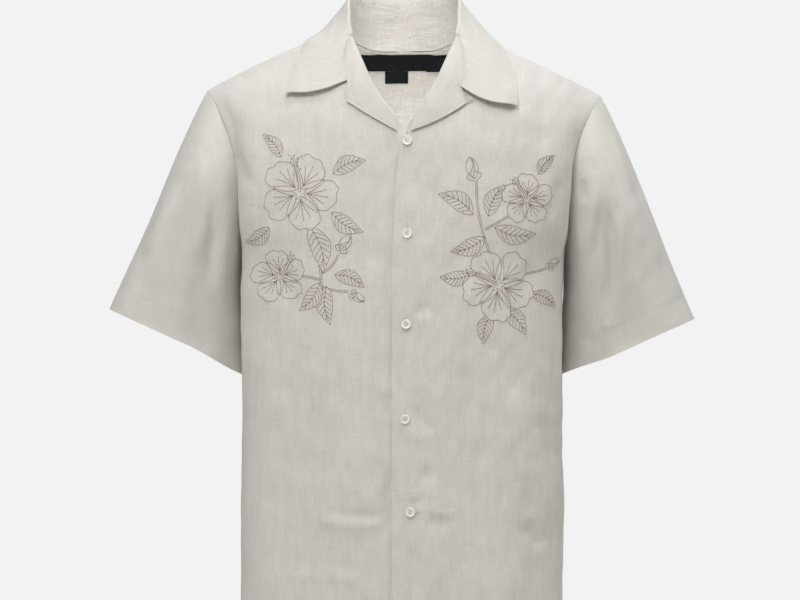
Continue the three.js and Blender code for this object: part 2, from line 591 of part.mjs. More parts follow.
// Places along half of the collar: 0 is the notch, 1 the top of the gorge seam, 2 the shoulder seam
// and 3 the centre back, with one place beyond it to keep the back smooth.
// crest is the top of the roll, facing is the way the collar faces there (0 sideways, 90 to the back),
// and edge is the leaf's free edge.
const COLLAR = [
  { at: 0, edge: [136, -86, -62], crest: [67, -100, -42], facing: -40 },
  { at: 0.55, edge: [133, -68, -40], crest: [65, -80, -14], facing: -40 },
  { at: 1.15, edge: [127, -48, -20], crest: [63.5, -52, 14], facing: -35 },
  { at: 1.35, edge: [124, -38, -12], crest: [64, -44, 26], facing: -24 },
  { at: 1.65, edge: [120, -24, -3], crest: [66.5, -28, 46], facing: -10 },
  { at: 2, edge: [114, -2, 6], crest: [67, -5, 59], facing: 3 },
  { at: 2.35, edge: [104, 42, 6], crest: [61, 36, 65], facing: 24 },
  { at: 2.7, edge: [66, 79, -3], crest: [38, 68, 65], facing: 60 },
  { at: 3, edge: [0, 91, -10], crest: [0, 82, 63], facing: 90 },
  { at: 3.3, edge: [-66, 79, -3], crest: [-38, 68, 65], facing: 120 },
];
const LEAF_TIP = { left: [132, -90, -71], right: [140, -80, -55] };

function collarRow(side, at) {
  const tip = side > 0 ? LEAF_TIP.left : LEAF_TIP.right;
  const rows = COLLAR.map((row, i) => [...(i === 0 ? tip : row.edge), ...row.crest, row.facing]);
  const n = throughKnots(rows, COLLAR.map((row) => row.at), at);
  const facing = radians(n[6]);
  return {
    edge: mirrored(side, n.slice(0, 3)),
    crest: mirrored(side, n.slice(3, 6)),
    facing: mirrored(side, [Math.cos(facing), Math.sin(facing), 0]),
  };
}

// The collar's seam, from the notch up the gorge, round the roll and along the neckline.
function collarSeam(side) {
  const last = lapelGrid(side).at(-1);
  const gorge = LAPEL_COLUMNS.map((w, j) => {
    const { point, out } = last[j];
    const down = add(last[Math.min(j + 1, last.length - 1)].point, last[Math.max(j - 1, 0)].point, -1);
    const away = unit(cross(out, down)).map((n) => n * side);
    const at = w > 0.5 ? 2 - 2 * w : 1 + (ROLL_PLACE - 1) * (1 - 2 * w);
    const gap = COLLAR_GAP * (1 + ease((w - 0.7) / 0.3));
    return { at, seam: add(point, away, gap), seamOut: out, away, onRoll: w >= 0.25 };
  }).reverse();
  const neckline = rowsBetween(GORGE_ROW, BACK_NECK_ROW, YOKE_STEP).slice(1).map((v) => {
    const edge = bodyAt(side, 0, v === SHOULDER_ROW ? v + SEAM_ROW : v);
    const near = 1 - ease((v - GORGE_ROW) / FOOT_RUN);
    const upFront = ROLL_PLACE + (2 - ROLL_PLACE) * (v - GORGE_ROW);
    const at = v < SHOULDER_ROW ? upFront : 2 + (v - SHOULDER_ROW) / (BACK_NECK_ROW - SHOULDER_ROW);
    const { facing } = collarRow(side, at);
    const foot = add(edge.point, edge.out, STAND_FOOT - near * FOOT_DIP);
    return { at, seam: add(foot, facing, -near * FOOT_INSIDE), onRoll: false };
  });
  return [...gorge, ...neckline];
}

function collarColumn(side, place) {
  const { at, seam, onRoll } = place;
  const { edge, crest, facing } = collarRow(side, at);
  const top = onRoll ? seam : crest;
  const away = onRoll ? place.away : facing;
  const stand = [
    seam,
    mix(seam, top, STAND_BEND),
    add(top, away, -Math.min(COLLAR_ROLL, STAND_BEND * length(add(top, seam, -1)))),
    top,
  ];
  const bulge = add(mix(top, edge, 0.5), facing, LEAF_BULGE);
  const fall = [top, add(top, away, COLLAR_ROLL), bulge, edge];
  const standLength = onRoll ? 0 : length(add(top, seam, -1));
  const fallLength = length(add(edge, top, -1)) + ROLL_LENGTH;
  return steps(0, standLength + fallLength, COLLAR_COLUMNS).map((along) => {
    if (along < standLength) return bezier(stand, along / standLength);
    const point = bezier(fall, (along - standLength) / fallLength);
    const inFront = at < OVER_FRONT.before && point[2] < OVER_FRONT.below;
    return inFront && along > standLength ? offTheFront(point) : point;
  });
}

// Lifts a point of the leaf that would come closer to the front than LEAF_LIFT.
function offTheFront(point) {
  const under = bodySeenAt(point[0], point[2]);
  const clear = dot(add(point, under.point, -1), under.out);
  if (clear > 2 * LEAF_LIFT) return point;
  const lifted = LEAF_LIFT + Math.max(0, clear) ** 2 / (4 * LEAF_LIFT);
  return add(point, under.out, lifted - clear);
}

function collar() {
  const left = collarSeam(1);
  const right = collarSeam(-1);
  const places = [...left, ...right.slice(0, -1).reverse()];
  const points = places.map((place, i) => collarColumn(i < left.length ? 1 : -1, place));
  const grid = withWaysOut(points, 1);
  places.forEach(({ seamOut }, i) => {
    if (seamOut) grid[i][0].out = seamOut;
  });
  return closedWall(grid, () => FACED_WALL);
}

// Labels: each lies inside the back, below its neckline. Sizes are seen from the front.

const LABELS = {
  neck_label: { left: -53, right: 53, top: -3.4, bottom: -22.8, layer: 1 },
  label_tab: { left: -23, right: 5, top: -23.4, bottom: -37.8, layer: 1 },
  care_label: { left: 27, right: 51, top: -4, bottom: -23.4, layer: 2 },
};
const LABEL_STEP = 13;
const LABEL_GAP = 0.7;

function label({ left, right, top, bottom, layer }) {
  const depth = CLOTH + layer * (LABEL_GAP + LABEL_WALL);
  const across = steps(left, right, Math.max(2, Math.round((right - left) / LABEL_STEP)));
  const grid = steps(bottom, top, 2).map((z) => across.map((x) => {
    const { point, out } = bodySeenAt(x, z, true);
    return { point: add(point, out, -depth), out: out.map((n) => -n) };
  }));
  return closedWall(grid, () => LABEL_WALL);
}

// Buttons: round, with a raised rim and four holes for the thread.

const BUTTON = { radius: 5.75, thick: 2.3, dish: 0.6, rim: 1.3, sides: 20 };
const HOLE = { radius: 0.75, spread: 1.3, sides: 8 };
const BUTTON_PLACES = [
  { x: 3.6, z: -110.4 },
  { x: 3.6, z: -220.8 },
  { x: 2.4, z: -328.8 },
  { x: 1.2, z: -441.6 },
  { x: 7.2, z: -552 },
];

function solidOf(geometry) {
  geometry.deleteAttribute("normal");
  geometry.deleteAttribute("uv");
  const merged = mergeVertices(geometry, 1e-4);
  const vertProperties = new Float32Array(merged.attributes.position.array);
  const triVerts = new Uint32Array(merged.index.array);
  return new wasm.Manifold(new wasm.Mesh({ numProp: 3, vertProperties, triVerts }));
}

function geometryOf(solid) {
  const mesh = solid.getMesh();
  const geometry = new THREE.BufferGeometry();
  geometry.setAttribute("position", new THREE.BufferAttribute(mesh.vertProperties, 3));
  geometry.setIndex(new THREE.BufferAttribute(mesh.triVerts, 1));
  geometry.computeVertexNormals();
  return geometry;
}

// The button's face points along +Y of its own frame.
function button() {
  const { radius, thick, dish, rim, sides } = BUTTON;
  const profile = [
    [0, 0],
    [radius - 0.8, 0],
    [radius, 0.8],
    [radius, thick - 0.4],
    [radius - 0.4, thick],
    [radius - rim, thick],
    [radius - rim - 0.8, thick - dish],
    [0, thick - dish],
  ];
  const disc = new THREE.LatheGeometry(profile.map(([x, y]) => new THREE.Vector2(x, y)), sides);
  let solid = solidOf(disc);
  for (const [i, k] of [[1, 1], [1, -1], [-1, 1], [-1, -1]]) {
    const hole = new THREE.CylinderGeometry(HOLE.radius, HOLE.radius, 3 * thick, HOLE.sides);
    hole.translate(i * HOLE.spread, 0, k * HOLE.spread);
    solid = solid.subtract(solidOf(hole));
  }
  return geometryOf(solid);
}

// Loop: a short thread loop at the tip of the upper lapel, which takes a small button under the collar.
// from and to are the places of its two ends up the lapel's free edge.

const LOOP = { from: 0.66, to: 0.72, reach: 10, radius: 0.45, sides: 8, steps: 12 };

function threadLoop() {
  const [low, high] = [LOOP.from, LOOP.to].map((u) => {
    const { point, out } = bodySeenAt(...lapelEdge(1, u));
    return { out, middle: add(point, out, EDGE_LIFT - FACED_WALL / 2) };
  });
  const away = unit(cross(add(high.middle, low.middle, -1), low.out));
  const near = [low, high].map((end) => add(end.middle, away, SEAM));
  const far = near.map((end) => add(end, away, LOOP.reach));
  const corners = [near[0], far[0], far[1], near[1]];
  const curve = new THREE.CubicBezierCurve3(...corners.map((c) => new THREE.Vector3(...c)));
  const ring = steps(0, 1, LOOP.sides).slice(0, -1).map((t) => new THREE.Vector2(
    LOOP.radius * Math.cos(2 * Math.PI * t),
    LOOP.radius * Math.sin(2 * Math.PI * t),
  ));
  return new THREE.ExtrudeGeometry(new THREE.Shape(ring), { steps: LOOP.steps, extrudePath: curve });
}

// The whole shirt

const LINEN = { color: "#cdc9c2", roughness: 0.9 };
const WOVEN = { color: "#16191c", roughness: 0.8 };
const SHELL = { color: "#e3e1dc", roughness: 0.35 };
const THREAD = { color: "#e6e4e0", roughness: 0.8 };
const shirt = new THREE.Group();

function piece(name, geometry, finish) {
  const mesh = new THREE.Mesh(geometry, new THREE.MeshStandardMaterial({ ...finish, metalness: 0 }));
  mesh.name = name;
  shirt.add(mesh);
  return mesh;
}

for (const [name, side] of [["left", 1], ["right", -1]]) {
  piece(`front_${name}`, frontPanel(side), LINEN);
  piece(`sleeve_${name}`, sleeve(side), LINEN);
  piece(`lapel_${name}`, lapel(side), LINEN);
}
piece("back", backPanel(), LINEN);
piece("collar", collar(), LINEN);
for (const [name, sizes] of Object.entries(LABELS)) piece(name, label(sizes), WOVEN);
piece("loop", threadLoop(), THREAD);
BUTTON_PLACES.forEach(({ x, z }, i) => {
  const { point, out } = bodySeenAt(Math.max(x, 0), z);
  const mesh = piece(`button_${i + 1}`, button(), SHELL);
  mesh.position.set(...add(point, out, SEAM));
  mesh.quaternion.setFromUnitVectors(new THREE.Vector3(0, 1, 0), new THREE.Vector3(...out));
});

export default shirt;
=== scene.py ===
# A short-sleeved camp-collar shirt in natural linen, filled out as if worn.
# Sizes are in millimetres in the tables and in metres in the meshes. +Z is up, the front faces -Y,
# and +X is the wearer's left. The origin is the middle of the neck opening.

import bmesh
import bpy
import numpy as np
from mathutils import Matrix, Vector


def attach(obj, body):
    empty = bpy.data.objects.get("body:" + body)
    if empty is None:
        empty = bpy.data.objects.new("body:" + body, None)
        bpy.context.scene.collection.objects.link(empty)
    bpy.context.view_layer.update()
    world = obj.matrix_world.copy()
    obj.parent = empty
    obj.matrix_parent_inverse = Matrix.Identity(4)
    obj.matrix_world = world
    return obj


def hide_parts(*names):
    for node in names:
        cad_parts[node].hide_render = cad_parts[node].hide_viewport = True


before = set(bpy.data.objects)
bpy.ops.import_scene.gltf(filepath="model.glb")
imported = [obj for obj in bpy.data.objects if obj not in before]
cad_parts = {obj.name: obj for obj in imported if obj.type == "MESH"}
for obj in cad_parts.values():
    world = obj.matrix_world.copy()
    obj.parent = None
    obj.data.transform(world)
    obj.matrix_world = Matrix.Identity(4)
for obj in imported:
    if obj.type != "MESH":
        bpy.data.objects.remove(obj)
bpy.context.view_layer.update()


def placed(name, data):
    """A new object of this mesh, lamp or camera, linked to the scene."""
    made = bpy.data.objects.new(name, data)
    bpy.context.scene.collection.objects.link(made)
    return made


# Camera. It stands straight in front of the chest and so far off that the view is almost parallel.
# The frame cuts off the top of the collar and the hem.
DISTANCE = 12.0
VIEW_WIDTH = 0.96  # across the frame, at the shoulders
SENSOR = 36
camera = placed("camera", bpy.data.cameras.new("camera"))
camera.data.sensor_width = SENSOR
camera.data.lens = SENSOR * DISTANCE / VIEW_WIDTH
camera.data.clip_end = 5 * DISTANCE
camera.location = (-0.0048, -DISTANCE, -0.3)
camera.rotation_euler = (np.pi / 2, 0, 0)
bpy.context.scene.camera = camera

# Linen: a plain weave of undyed flax. Its yarns are thick and thin, with slubs along single yarns
# both ways. Every cut piece is made of it, and each carries its grain as u and v in metres.
YARN = 0.00052  # from one yarn to the next
LINEN_LIGHT = (0.76, 0.745, 0.72, 1)
LINEN_DARK = (0.565, 0.535, 0.495, 1)
LINEN_SLUB = (0.40, 0.36, 0.31, 1)
LINEN_PALE = (0.82, 0.81, 0.785, 1)
LINEN_PINK = (0.68, 0.625, 0.595, 1)
LINEN_GREEN = (0.635, 0.635, 0.575, 1)


def node(tree, kind, inputs=(), **settings):
    """Adds a node with these settings, and fills its inputs with values or with other nodes' outputs."""
    made = tree.nodes.new(kind)
    for name, value in settings.items():
        setattr(made, name, value)
    for name, value in dict(inputs).items():
        if isinstance(value, bpy.types.NodeSocket):
            tree.links.new(value, made.inputs[name])
        else:
            made.inputs[name].default_value = value
    return made


def maths(tree, operation, *values):
    """The output of a Math node on these values or sockets."""
    return node(tree, "ShaderNodeMath", dict(enumerate(values)), operation=operation).outputs[0]


def spread(tree, value, low, high, to_low=0.0, to_high=1.0):
    """The value taken smoothly from one range to another, and held at its ends."""
    ends = {"Value": value, "From Min": low, "From Max": high, "To Min": to_low, "To Max": to_high}
    return node(tree, "ShaderNodeMapRange", ends, interpolation_type="SMOOTHSTEP").outputs[0]


def blend_colours(tree, share, first, second):
    """The first colour turning into the second as share goes from 0 to 1."""
    return node(tree, "ShaderNodeMix", {0: share, 6: first, 7: second}, data_type="RGBA").outputs[2]


def noise(tree, place, inputs, dimensions="2D"):
    """The value of a Noise Texture at this place."""
    filled = {"Vector": place, **inputs}
    return node(tree, "ShaderNodeTexNoise", filled, noise_dimensions=dimensions).outputs[0]


def split(tree, vector):
    """The x and y of a vector."""
    return node(tree, "ShaderNodeSeparateXYZ", {0: vector}).outputs[:2]


def new_group(name, takes, gives):
    """A shader node group, with its Group Input and Group Output nodes."""
    group = bpy.data.node_groups.new(name, "ShaderNodeTree")
    for label, kind in takes.items():
        group.interface.new_socket(label, in_out="INPUT", socket_type="NodeSocket" + kind)
    for label, kind in gives.items():
        group.interface.new_socket(label, in_out="OUTPUT", socket_type="NodeSocket" + kind)
    return group, group.nodes.new("NodeGroupInput"), group.nodes.new("NodeGroupOutput")


# Yarn to yarn: noise drawn out along one way of the grain. Across and Along are its sizes in metres.
yarn_group, yarn_in, yarn_out = new_group(
    "yarns", {"Grain": "Vector", "Across": "Float", "Along": "Float"}, {"Value": "Float"}
)
across, along = split(yarn_group, yarn_in.outputs["Grain"])
across = maths(yarn_group, "DIVIDE", across, yarn_in.outputs["Across"])
along = maths(yarn_group, "DIVIDE", along, yarn_in.outputs["Along"])
stretched = node(yarn_group, "ShaderNodeCombineXYZ", {0: across, 1: along}).outputs[0]
yarn_noise = noise(yarn_group, stretched, {"Scale": 1.0, "Detail": 1.5, "Roughness": 0.6})
yarn_group.links.new(yarn_noise, yarn_out.inputs["Value"])

# Plain weave: one yarn over and one under, both ways. With a and b the rounded tops of the two
# yarns and k their over and under, the height is the larger of (a + k) / 2 and (b - k) / 2.
weave_group, weave_in, weave_out = new_group(
    "plain weave", {"Grain": "Vector", "Pitch": "Float"}, {"Height": "Float"}
)
waves = []
for way in split(weave_group, weave_in.outputs["Grain"]):
    counted = maths(weave_group, "DIVIDE", way, weave_in.outputs["Pitch"])
    waves.append(maths(weave_group, "SINE", maths(weave_group, "MULTIPLY", counted, np.pi)))
over = maths(weave_group, "MULTIPLY", waves[0], waves[1])
warp = maths(weave_group, "ADD", maths(weave_group, "ABSOLUTE", waves[0]), over)
weft = maths(weave_group, "SUBTRACT", maths(weave_group, "ABSOLUTE", waves[1]), over)
higher = maths(weave_group, "MAXIMUM", warp, weft)
weave_group.links.new(maths(weave_group, "MULTIPLY", higher, 0.5), weave_out.inputs["Height"])


def grouped(tree, group, inputs):
    """The output of this group in a tree, with its inputs filled."""
    return node(tree, "ShaderNodeGroup", inputs, node_tree=group).outputs[0]


def bare_material(name):
    """A new material, its tree and its Principled shader."""
    material = bpy.data.materials.new(name)
    material.use_nodes = True
    return material, material.node_tree, material.node_tree.nodes["Principled BSDF"]


def grained_material(name):
    """A new material, its tree, its Principled shader and the u and v of the grain."""
    material, tree, shader = bare_material(name)
    return material, tree, shader, node(tree, "ShaderNodeUVMap", uv_map="grain").outputs[0]


def cover(tree, shader, colour, roughness, height, strength, distance):
    """Gives a shader its colour and roughness, and a bump of this height times the distance."""
    relief = {"Height": height, "Strength": strength, "Distance": distance}
    bump = node(tree, "ShaderNodeBump", relief).outputs[0]
    for name, value in (("Base Color", colour), ("Roughness", roughness), ("Normal", bump)):
        tree.links.new(value, shader.inputs[name])


def linen_material(name, turned, contrast, middle=0.5):
    """Linen with its warp along v, or along u when turned. contrast is how far the yarns differ, up to
    1, and middle is their mean tone between the dark and the light one."""
    material, tree, shader, grain = grained_material(name)
    u, v = split(tree, grain)[:: -1 if turned else 1]
    warpwise = node(tree, "ShaderNodeCombineXYZ", {0: u, 1: v}).outputs[0]
    weftwise = node(tree, "ShaderNodeCombineXYZ", {0: v, 1: u}).outputs[0]

    def yarns(way, across, along):
        return grouped(tree, yarn_group, {"Grain": way, "Across": across, "Along": along})

    warp_tone = yarns(warpwise, 0.0014, 0.024)
    weft_tone = yarns(weftwise, 0.0013, 0.017)
    broad = yarns(warpwise, 0.010, 0.05)
    tone = maths(tree, "ADD", maths(tree, "ADD", warp_tone, weft_tone), broad)
    tone = spread(tree, tone, 1.05, 1.95, middle - contrast / 2, middle + contrast / 2)
    warp_slub = spread(tree, yarns(warpwise, 0.0010, 0.014), 0.67, 0.76)
    weft_slub = spread(tree, yarns(weftwise, 0.0009, 0.020), 0.66, 0.76)
    slub = maths(tree, "MAXIMUM", warp_slub, weft_slub)
    pale = spread(tree, yarns(warpwise, 0.0017, 0.012), 0.36, 0.28)

    def cloud(size, start):
        place = node(tree, "ShaderNodeVectorMath", {0: grain, 1: (start, start, 0)}, operation="ADD")
        return noise(tree, place.outputs[0], {"Scale": 1 / size, "Detail": 2.0, "Roughness": 0.55})

    colour = blend_colours(tree, tone, LINEN_DARK, LINEN_LIGHT)
    for share, other in (
        (spread(tree, cloud(0.045, 3.1), 0.5, 0.72, 0, 0.5), LINEN_PINK),
        (spread(tree, cloud(0.06, 7.7), 0.52, 0.72, 0, 0.4), LINEN_GREEN),
        (maths(tree, "MULTIPLY", pale, 0.8 * contrast), LINEN_PALE),
        (maths(tree, "MULTIPLY", slub, 0.55 * contrast), LINEN_SLUB),
    ):
        colour = blend_colours(tree, share, colour, other)
    weave = grouped(tree, weave_group, {"Grain": grain, "Pitch": YARN})
    relief = maths(tree, "ADD", weave, maths(tree, "MULTIPLY", maths(tree, "ADD", tone, slub), 0.8))
    cover(tree, shader, colour, spread(tree, tone, 0, 1, 0.93, 0.8), relief, 0.6, 0.00016)
    shader.inputs["Sheen Weight"].default_value = 0.12
    shader.inputs["Sheen Roughness"].default_value = 0.5
    shader.inputs["Specular IOR Level"].default_value = 0.25
    return material


linen = linen_material("linen", turned=False, contrast=0.34)
inside_linen = linen_material("linen inside", turned=True, contrast=0.85)
sleeve_linen = linen_material("linen of the sleeves", turned=False, contrast=0.2)

# Cut and form of the body. Each level is a row across half of the shirt, and the cloth is one smooth
# surface through them all, as it hangs filled out over the chest, the shoulders and the back.
CLOTH = 1.2  # wall of one layer
HEM_WALL = 1.6
FACED_WALL = 1.6  # collar and lapels, two layers with an interlining
SEAM = 0.3  # gap at each seam
# inner x y z, outer x y z, sweep, fall, pull in, turn, drop, pull out
LEVELS = np.array([
    (0, -131, -740, 189, 8, -740, 0, 0, 120, 99, 0, 92),
    (0, -129, -600, 189, 8, -600, 0, 0, 120, 99, 0, 92),
    (0, -128, -450, 188, 8, -450, 0, 0, 120, 99, 0, 92),
    (0, -129, -330, 188, 8, -330, 0, 0, 122, 99, 0, 92),
    (0, -130, -272, 190, 8, -265, 0, 0, 124, 99, 0, 90),
    (0, -130, -260, 190, 8, -255, 0, 0, 124, 100, 0, 88),
    (0, -130, -215, 194, -24, -215, 0, 0, 122, 102, 0, 68),
    (0, -128, -155, 198, -42, -168, 0, 0, 118, 98, 0, 52),
    (0, -125, -100, 205, -44, -124, 0, 0, 104, 84, -0.1, 46),
    (29, -114, -60, 218, -34, -92, 0.03, -0.05, 84, 58, -0.35, 42),
    (48, -98, -28, 227, -20, -74, 0.08, -0.12, 68, 36, -0.5, 40),
    (58, -76, -6, 232, -10, -66, 0.15, -0.3, 60, 18, -0.6, 40),
    (65.5, -50, 9.5, 235, -3, -62, 0.08, -0.38, 56, 8, -0.62, 40),
    (72, -5, 17, 236, 3, -61, 0.02, -0.43, 54, 2, -0.62, 40),
    (63, 40, 10, 234, 16, -64, -0.05, -0.38, 58, -14, -0.58, 40),
    (34, 67, -0.5, 229, 33, -74, -0.03, -0.2, 66, -34, -0.48, 42),
    (0, 72, -3, 220, 49, -94, 0, -0.02, 84, -54, -0.34, 44),
    (0, 92, -55, 208, 60, -130, 0, 0, 100, -72, -0.12, 48),
    (0, 108, -115, 200, 60, -176, 0, 0, 112, -78, 0, 54),
    (0, 116, -180, 195, 40, -226, 0, 0, 116, -80, 0, 62),
    (0, 118, -245, 190, 8, -255, 0, 0, 116, -80, 0, 74),
    (0, 118, -257, 190, 8, -265, 0, 0, 116, -81, 0, 75),
    (0, 115, -330, 188, 8, -330, 0, 0, 114, -81, 0, 76),
    (0, 112, -450, 188, 8, -450, 0, 0, 112, -81, 0, 76),
    (0, 114, -600, 189, 8, -600, 0, 0, 112, -81, 0, 76),
    (0, 118, -740, 189, 8, -740, 0, 0, 114, -81, 0, 76),
], float)
PIT_FRONT, V_ROW, GORGE_ROW, SHOULDER_ROW, BACK_NECK_ROW, PIT_BACK = 5, 8, 12, 13, 16, 20
LAST_ROW = len(LEVELS) - 1
NECK_EDGE_Z = -100  # bottom of the neck opening


def unit(a):
    """Each vector made one long."""
    return a / np.linalg.norm(a, axis=-1, keepdims=True)


def ease(x):
    """A smooth step: 3x^2 - 2x^3 between 0 and 1."""
    x = np.clip(x, 0, 1)
    return x * x * (3 - 2 * x)


def flip(side, a):
    """The vectors as they are on the wearer's left, or mirrored to the right."""
    return a * np.array([side, 1, 1])


def through_rows(rows, knots, at):
    """A smooth curve through rows of numbers at uneven knots, at places counted in rows.
    Between two rows it is the cubic with their values and with slopes taken from their neighbours."""
    at = np.asarray(at, float)
    span = np.diff(knots)[:, None]
    slope = np.diff(rows, axis=0) / span
    middle = (slope[:-1] * span[1:] + slope[1:] * span[:-1]) / (span[1:] + span[:-1])
    tangent = np.vstack([slope[:1], middle, slope[-1:]])
    i = np.clip(np.floor(at).astype(int), 0, len(rows) - 2)
    f = (at - i)[..., None]
    rise = f * f * (3 - 2 * f)
    lead = f * (1 - f) ** 2 * span[i] * tangent[i]
    trail = f * f * (f - 1) * span[i] * tangent[i + 1]
    return rows[i] * (1 - rise) + rows[i + 1] * rise + lead + trail


def bezier(controls, t):
    """The cubic curve of four control points, which are twelve numbers in a row."""
    k = 1 - t
    weights = np.stack([k**3, 3 * k * k * t, 3 * k * t * t, t**3], -1)
    return np.einsum("...w,...wc->...c", weights, controls.reshape(*controls.shape[:-1], 4, 3))


inner, outer = LEVELS[:, :3], LEVELS[:, 3:6]
heading = np.radians(LEVELS[:, 9])
leaving = unit(np.stack([np.ones(len(LEVELS)), LEVELS[:, 6], LEVELS[:, 7]], -1))
arriving = unit(np.stack([np.cos(heading), np.sin(heading), LEVELS[:, 10]], -1))
CONTROLS = np.hstack([
    inner, inner + leaving * LEVELS[:, 8:9], outer - arriving * LEVELS[:, 11:12], outer
])
runs = [np.linalg.norm(np.diff(ends, axis=0), axis=1) for ends in (inner, outer)]
KNOTS = np.concatenate([[0], np.cumsum((runs[0] + runs[1]) / 2)])


def plain_body(s, v):
    """The smooth left half of the body: s from 0 at the centre or neckline to 1 at the side or armhole,
    along a cubic curve, and v up the front and down the back through the levels."""
    s, v = np.broadcast_arrays(np.asarray(s, float), v)
    point = bezier(through_rows(CONTROLS, KNOTS, v), np.abs(s))
    return point * np.stack([np.where(s < 0, -1, 1), np.ones(s.shape), np.ones(s.shape)], -1)


def plain_normal(s, v):
    """The way out of that surface: its step across, crossed with its step up."""
    d = 0.01
    s, v = np.broadcast_arrays(np.asarray(s, float), v)
    up = plain_body(s, np.minimum(LAST_ROW, v + d)) - plain_body(s, np.maximum(0, v - d))
    return unit(np.cross(plain_body(s + d, v) - plain_body(s - d, v), up))


# Folds and creases, seen straight on: from x z, to x z, bow, width and rise out of the cloth.
# The first rows of each are the largest, and the others are the small ones that linen keeps.
LARGE_FRONT, LARGE_BACK = 8, 6  # how many rows of each are large
FRONT_FOLDS = np.array([
    (-214, -60, -200, -190, 0, 12, -4),
    (-190, -60, -182, -230, 0, 18, 4),
    (186, -70, 178, -220, 0, 20, 3),
    (128, -380, 190, -610, 0, 20, 5),
    (150, -520, 176, -700, 0, 18, -5),
    (-150, -330, -120, -720, 0, 34, -4),
    (-80, -240, -60, -640, 0, 30, 3),
    (84, -300, 92, -660, 0, 30, -3),
    (10, -424, 40, -460, 3, 7, -1.6),
    (4, -450, 22, -474, 0, 6, 0.9),
    (6, -541, 26, -536, 0, 4, -1.5),
    (14, -548, 74, -553, 2, 3.4, 0.9),
    (24, -562, 58, -566, 0, 8, -1.3),
    (20, -500, 36, -516, 0, 9, -1.2),
    (8, -318, 34, -304, 2, 7, -1.3),
    (-20, -226, -20, -320, 0, 5, -1.4),
    (-19, -404, -20, -446, 0, 5, -1.2),
    (-20, -498, -20, -592, 0, 5, -1.5),
    (3, -539, 24, -547, 0, 2.4, -1.1),
    (28, -549, 74, -553, 0, 1.6, -0.6),
    (142, -500, 158, -566, 0, 9, -1.8),
    (-16, -556, -92, -548, -4, 5, -1.2),
    (-20, -566, -110, -560, -5, 7, 1.1),
    (-30, -640, -160, -628, 5, 10, 1.2),
    (166, -432, 182, -500, 0, 9, -2.4),
    (146, -560, 168, -600, 0, 11, -2.6),
    (60, -470, 96, -560, 6, 16, -1.3),
    (-170, -250, -120, -330, -8, 13, -1.8),
    (-182, -330, -150, -470, -6, 14, 1.6),
    (-110, -380, -92, -540, 7, 15, -1.3),
    (-60, -430, -48, -600, 4, 14, 1.1),
    (168, -250, 128, -320, 7, 13, -1.6),
    (-196, -120, -176, -170, 4, 8, -1.8),
    (184, -150, 170, -206, -4, 9, -1.6),
    (120, -40, 176, -104, 6, 12, 1.2),
    (-120, -44, -178, -112, -6, 12, 1.2),
    (40, -640, 52, -738, 4, 14, -1.8),
    (104, -600, 112, -738, -4, 15, 1.8),
    (-42, -650, -50, -738, 3, 13, -1.6),
    (-98, -620, -104, -738, -4, 15, 1.7),
], float)
BACK_FOLDS = np.array([
    (-176, -90, -150, -300, 0, 26, -5),
    (172, -90, 152, -320, 0, 26, -5),
    (-96, -300, -112, -735, 0, 32, 5),
    (-30, -340, -22, -735, 0, 32, -4),
    (62, -280, 78, -735, 0, 34, 5),
    (146, -360, 150, -735, 0, 26, -4),
    (-150, -150, -110, -330, 9, 15, -2),
    (140, -140, 104, -340, -8, 16, -1.9),
    (-60, -120, -96, -240, 5, 14, 1.4),
    (48, -110, 82, -230, -6, 15, 1.3),
    (-20, -200, 40, -216, 6, 10, -1.1),
    (-70, -420, -30, -470, 4, 12, -1.3),
    (20, -520, 96, -548, -6, 10, 1.2),
    (-150, -520, -90, -560, 6, 11, -1.3),
    (110, -600, 126, -738, 3, 14, -1.7),
    (-64, -620, -70, -738, -4, 15, -1.8),
    (20, -630, 26, -738, 3, 13, 1.6),
], float)


def fold_rise(folds, x, z):
    """The folds added up. Each is its rise, eased in and out along its bowed length, and falls off
    to the sides as a bell of its width."""
    rise = np.zeros(np.broadcast(x, z).shape)
    for x0, z0, x1, z1, bow, width, height in folds:
        span = np.hypot(x1 - x0, z1 - z0)
        along = ((x - x0) * (x1 - x0) + (z - z0) * (z1 - z0)) / span**2
        off = ((x - x0) * (z1 - z0) - (z - z0) * (x1 - x0)) / span
        off = off - bow * 4 * np.clip(along, 0, 1) * (1 - np.clip(along, 0, 1))
        rise += height * ease(along * 3) * ease((1 - along) * 3) * np.exp(-((off / width) ** 2))
    return rise


CREASE_DEPTH = 1.7  # how much deeper the small creases are made than their rows say

# Slow unevenness of the cloth: wave length across and along, slant, start and height of each wave.
WAVES = ((61, 97, 0.3, 0.4, 0.45), (43, 140, -0.2, 2.1, 0.4), (83, 58, 0.5, 4.0, 0.42),
         (29, 76, -0.4, 1.2, 0.24), (37, 33, 0.2, 5.2, 0.2), (121, 210, -0.1, 3.0, 0.6))


def unevenness(x, z):
    """Long low waves that cross each other: sines of x and z, whose heights are added up."""
    rise = np.zeros(np.broadcast(x, z).shape)
    for across, along, slant, start, height in WAVES:
        first = np.sin(2 * np.pi * (x + slant * z) / across + start)
        rise += height * first * np.sin(2 * np.pi * (z - slant * x) / along + 2 * start)
    return rise


LAP, LAP_REACH = 1.25, 80  # the fronts lap, the wearer's left one on top
SIDE_CALM, SHOULDER_CALM = 8, 2  # how fast the folds die away at the side and shoulder seams


